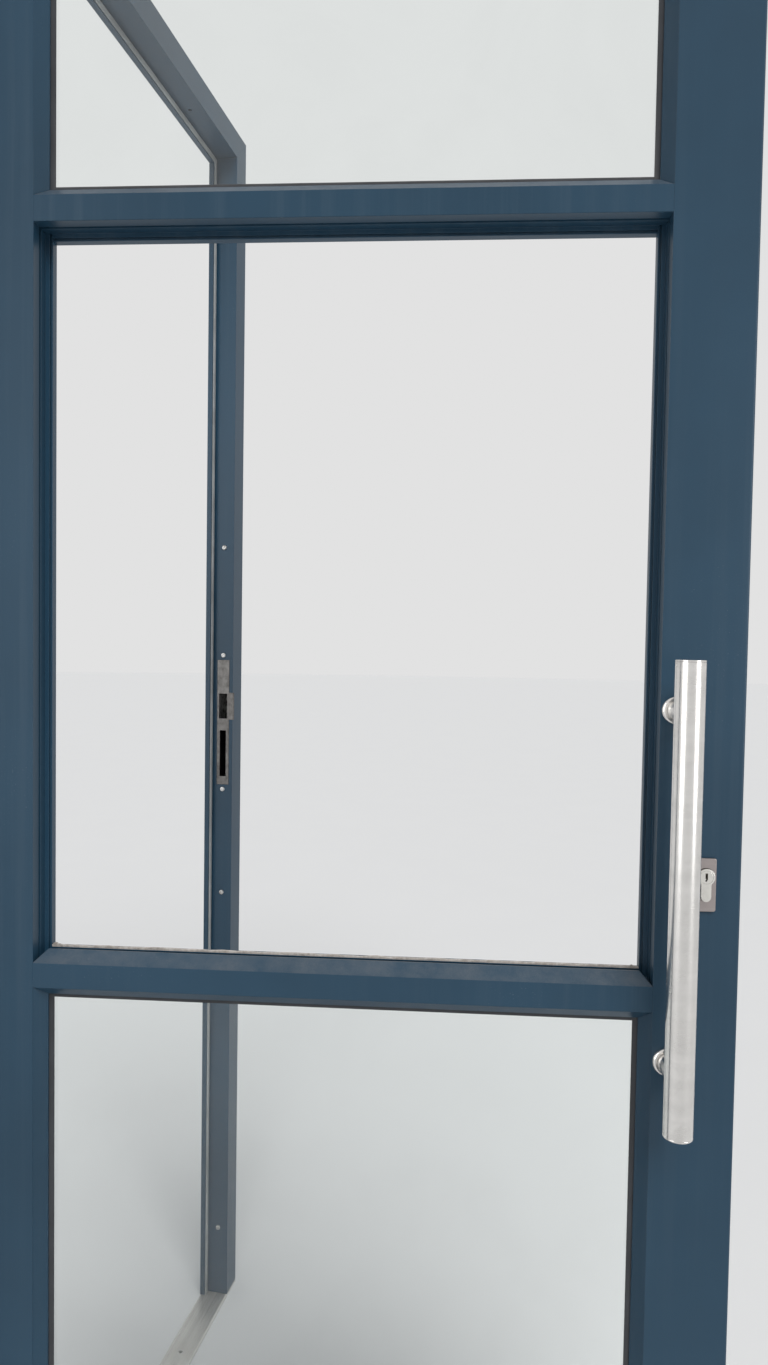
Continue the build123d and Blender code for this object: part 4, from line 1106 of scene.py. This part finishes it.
class DOOR_OT_seals(bpy.types.Operator):
    """Round the seal on the stop and tuft the brush under the leaf"""
    bl_idname = "door.seals"
    bl_label = "Seals and Brush"

    def execute(self, context):
        eased("stop_seals", "_moulded", rubber(colours().seal, name="stop_seal_rubber"), FINE_EDGE,
              shortest=MM)
        low, high = shut_box("bottom_brush")
        holder = cuboid("holder", (low.x, low.y, high.z - BRUSH_HOLDER), high)
        bevel(holder, CAST_EDGE, sharp())
        tuft = []
        for number in range(TUFT_BRISTLES):
            lean = 0.5 * MM * math.sin(number * 2.4)
            start = Vector((low.x + (1.2 + 0.9 * math.cos(number * 1.7)) * MM,
                            low.y + (0.7 + 0.57 * number) * MM, high.z - BRUSH_HOLDER + 0.2 * MM))
            tuft.append(rod("bristle", start, (start.x + lean, start.y, low.z), 0.16 * MM, 3,
                            tip_radius=0.1 * MM))
        tuft = join("tuft", tuft)
        only(tuft)
        row = tuft.modifiers.new("Row", "ARRAY")
        row.use_relative_offset = False
        row.use_constant_offset = True
        row.constant_offset_displace = (sizes().bristle_pitch, 0, 0)
        row.count = int((high.x - low.x - 3 * MM) / sizes().bristle_pitch)
        bpy.ops.object.modifier_apply(modifier="Row")
        for vertex in tuft.data.vertices:
            if vertex.co.z < low.z + MM:
                vertex.co.x += 0.5 * MM * noise.noise(vertex.co * 350)
        pile = rubber((0.018, 0.018, 0.02), name="brush_pile")
        joined("bottom_brush", "_tufted", pile, [holder, tuft])
        return {"FINISHED"}


class DOOR_OT_hidden_blocks(bpy.types.Operator):
    """Finish the blocks and cleats inside the hollow members"""
    bl_idname = "door.hidden_blocks"
    bl_label = "Corner and Shear Blocks"

    def execute(self, context):
        for node in ("corner_cleats", "shear_blocks"):
            eased(node, "_sawn", mill_aluminium(), BLOCK_EDGE)
        return {"FINISHED"}


def area_lamp(name, place, aim, power, width, height):
    """Hang a soft lamp that looks at a point and shows only in what shines."""
    direction = Vector(aim) - Vector(place)
    deselect()
    bpy.ops.object.light_add(type="AREA", location=place,
                             rotation=direction.to_track_quat("-Z", "Y").to_euler())
    lamp = bpy.context.object
    lamp.name = name
    lamp.data.shape = "RECTANGLE"
    lamp.data.size = width
    lamp.data.size_y = height
    lamp.data.energy = power
    lamp.data.spread = math.radians(110)
    lamp.visible_diffuse = False
    return lamp


class DOOR_OT_stage(bpy.types.Operator):
    """Lay the pale floor, hang the lamps and stand the camera where the photograph was taken"""
    bl_idname = "door.stage"
    bl_label = "Stage"

    def execute(self, context):
        settings = context.scene.door_stage
        context.scene.view_settings.view_transform = "Standard"
        deselect()
        bpy.ops.mesh.primitive_circle_add(vertices=96, radius=40, fill_type="NGON")
        floor = named("studio_floor")
        floor.data.materials.append(studio_floor(settings.floor))

        world = context.scene.world or bpy.data.worlds.new("Studio")
        context.scene.world = world
        world.use_nodes = True
        tree = world.node_tree
        tree.nodes.clear()
        rays = put(tree, "ShaderNodeLightPath").outputs
        seen = calculated(tree, "MAXIMUM", rays["Is Camera Ray"], calculated(
            tree, "MAXIMUM", rays["Is Glossy Ray"], rays["Is Transmission Ray"]))
        dim = put(tree, "ShaderNodeBackground", {"Color": (0.95, 0.97, 1.0, 1), "Strength": 0.38})
        bright = put(tree, "ShaderNodeBackground", {
            "Color": (*settings.background, 1), "Strength": 1.0})
        both = put(tree, "ShaderNodeMixShader", {0: seen, 1: dim.outputs[0], 2: bright.outputs[0]})
        put(tree, "ShaderNodeOutputWorld", {"Surface": both.outputs[0]})

        deselect()
        bpy.ops.object.light_add(
            type="SUN", location=(-3, -2, 5),
            rotation=Vector((0.62, 0.30, -0.72)).to_track_quat("-Z", "Y").to_euler())
        sun = context.object
        sun.name = "daylight"
        sun.data.energy = settings.daylight
        sun.data.angle = settings.daylight_spread
        sun.visible_glossy = False
        sun.visible_transmission = False
        for name, place, width in (("softbox_left", (-4.0, 3.2, 2.1), 2.6),
                                   ("softbox_right", (-3.6, -5.4, 2.1), 2.2)):
            area_lamp(name, place, (-0.4, -0.6, 1.1), settings.softbox_power, width, 3.8)

        yaw, pitch, roll = map(math.radians, (CAMERA_YAW, CAMERA_PITCH, CAMERA_ROLL))
        ahead = Vector((math.sin(yaw) * math.cos(pitch), math.cos(yaw) * math.cos(pitch),
                        -math.sin(pitch)))
        right = Vector((math.cos(yaw), -math.sin(yaw), 0))
        down = ahead.cross(right)
        tilted_right = math.cos(roll) * right + math.sin(roll) * down
        tilted_up = math.sin(roll) * right - math.cos(roll) * down
        turn = swing.to_3x3()
        axes = [turn @ tilted_right, turn @ tilted_up, -(turn @ ahead)]
        light_low = shut_box("middle_bead_bottom")[0]
        face = shut_box("mid_rail")[0].y
        place = Vector((light_low.x + CAMERA_ACROSS, face - CAMERA_AWAY, settings.eye_height))
        deselect()
        bpy.ops.object.camera_add()
        camera = context.object
        camera.name = "camera"
        camera.matrix_world = Matrix.LocRotScale(
            swing @ place, Matrix(axes).transposed(), Vector((1, 1, 1)))
        camera.data.lens = settings.lens
        camera.data.sensor_width = 36
        camera.data.clip_start = 0.02
        context.scene.camera = camera
        return {"FINISHED"}


class DOOR_PT_panel(bpy.types.Panel):
    """The door's pieces, in the order in which they are made"""
    bl_idname = "DOOR_PT_panel"
    bl_label = "Glazed Entrance Door"
    bl_space_type = "VIEW_3D"
    bl_region_type = "UI"
    bl_category = "Door"

    def draw(self, context):
        for group_name, kind in SETTINGS.items():
            box = self.layout.box()
            for name in kind.__annotations__:
                box.prop(getattr(context.scene, group_name), name)
        for operator in OPERATORS:
            self.layout.operator(operator.bl_idname)


SETTINGS = {"door_colours": DoorColours, "door_sizes": DoorSizes, "door_stage": DoorStage}
OPERATORS = (
    DOOR_OT_stage,
    DOOR_OT_coated_members,
    DOOR_OT_threshold,
    DOOR_OT_beads,
    DOOR_OT_glazing,
    DOOR_OT_old_sealant,
    DOOR_OT_hinges,
    DOOR_OT_fixings,
    DOOR_OT_handle,
    DOOR_OT_cylinder,
    DOOR_OT_lock,
    DOOR_OT_latch,
    DOOR_OT_strike,
    DOOR_OT_seals,
    DOOR_OT_hidden_blocks,
)
CLASSES = (*SETTINGS.values(), *OPERATORS, DOOR_PT_panel)


def register():
    for kind in CLASSES:
        bpy.utils.register_class(kind)
    for name, kind in SETTINGS.items():
        setattr(bpy.types.Scene, name, bpy.props.PointerProperty(type=kind))


def unregister():
    for name in SETTINGS:
        delattr(bpy.types.Scene, name)
    for kind in reversed(CLASSES):
        bpy.utils.unregister_class(kind)


def main():
    register()
    for operator in OPERATORS:
        result = getattr(bpy.ops.door, operator.bl_idname.split(".")[1])()
        if result != {"FINISHED"}:
            raise RuntimeError(operator.bl_label + " did not finish")


if __name__ == "__main__":
    main()
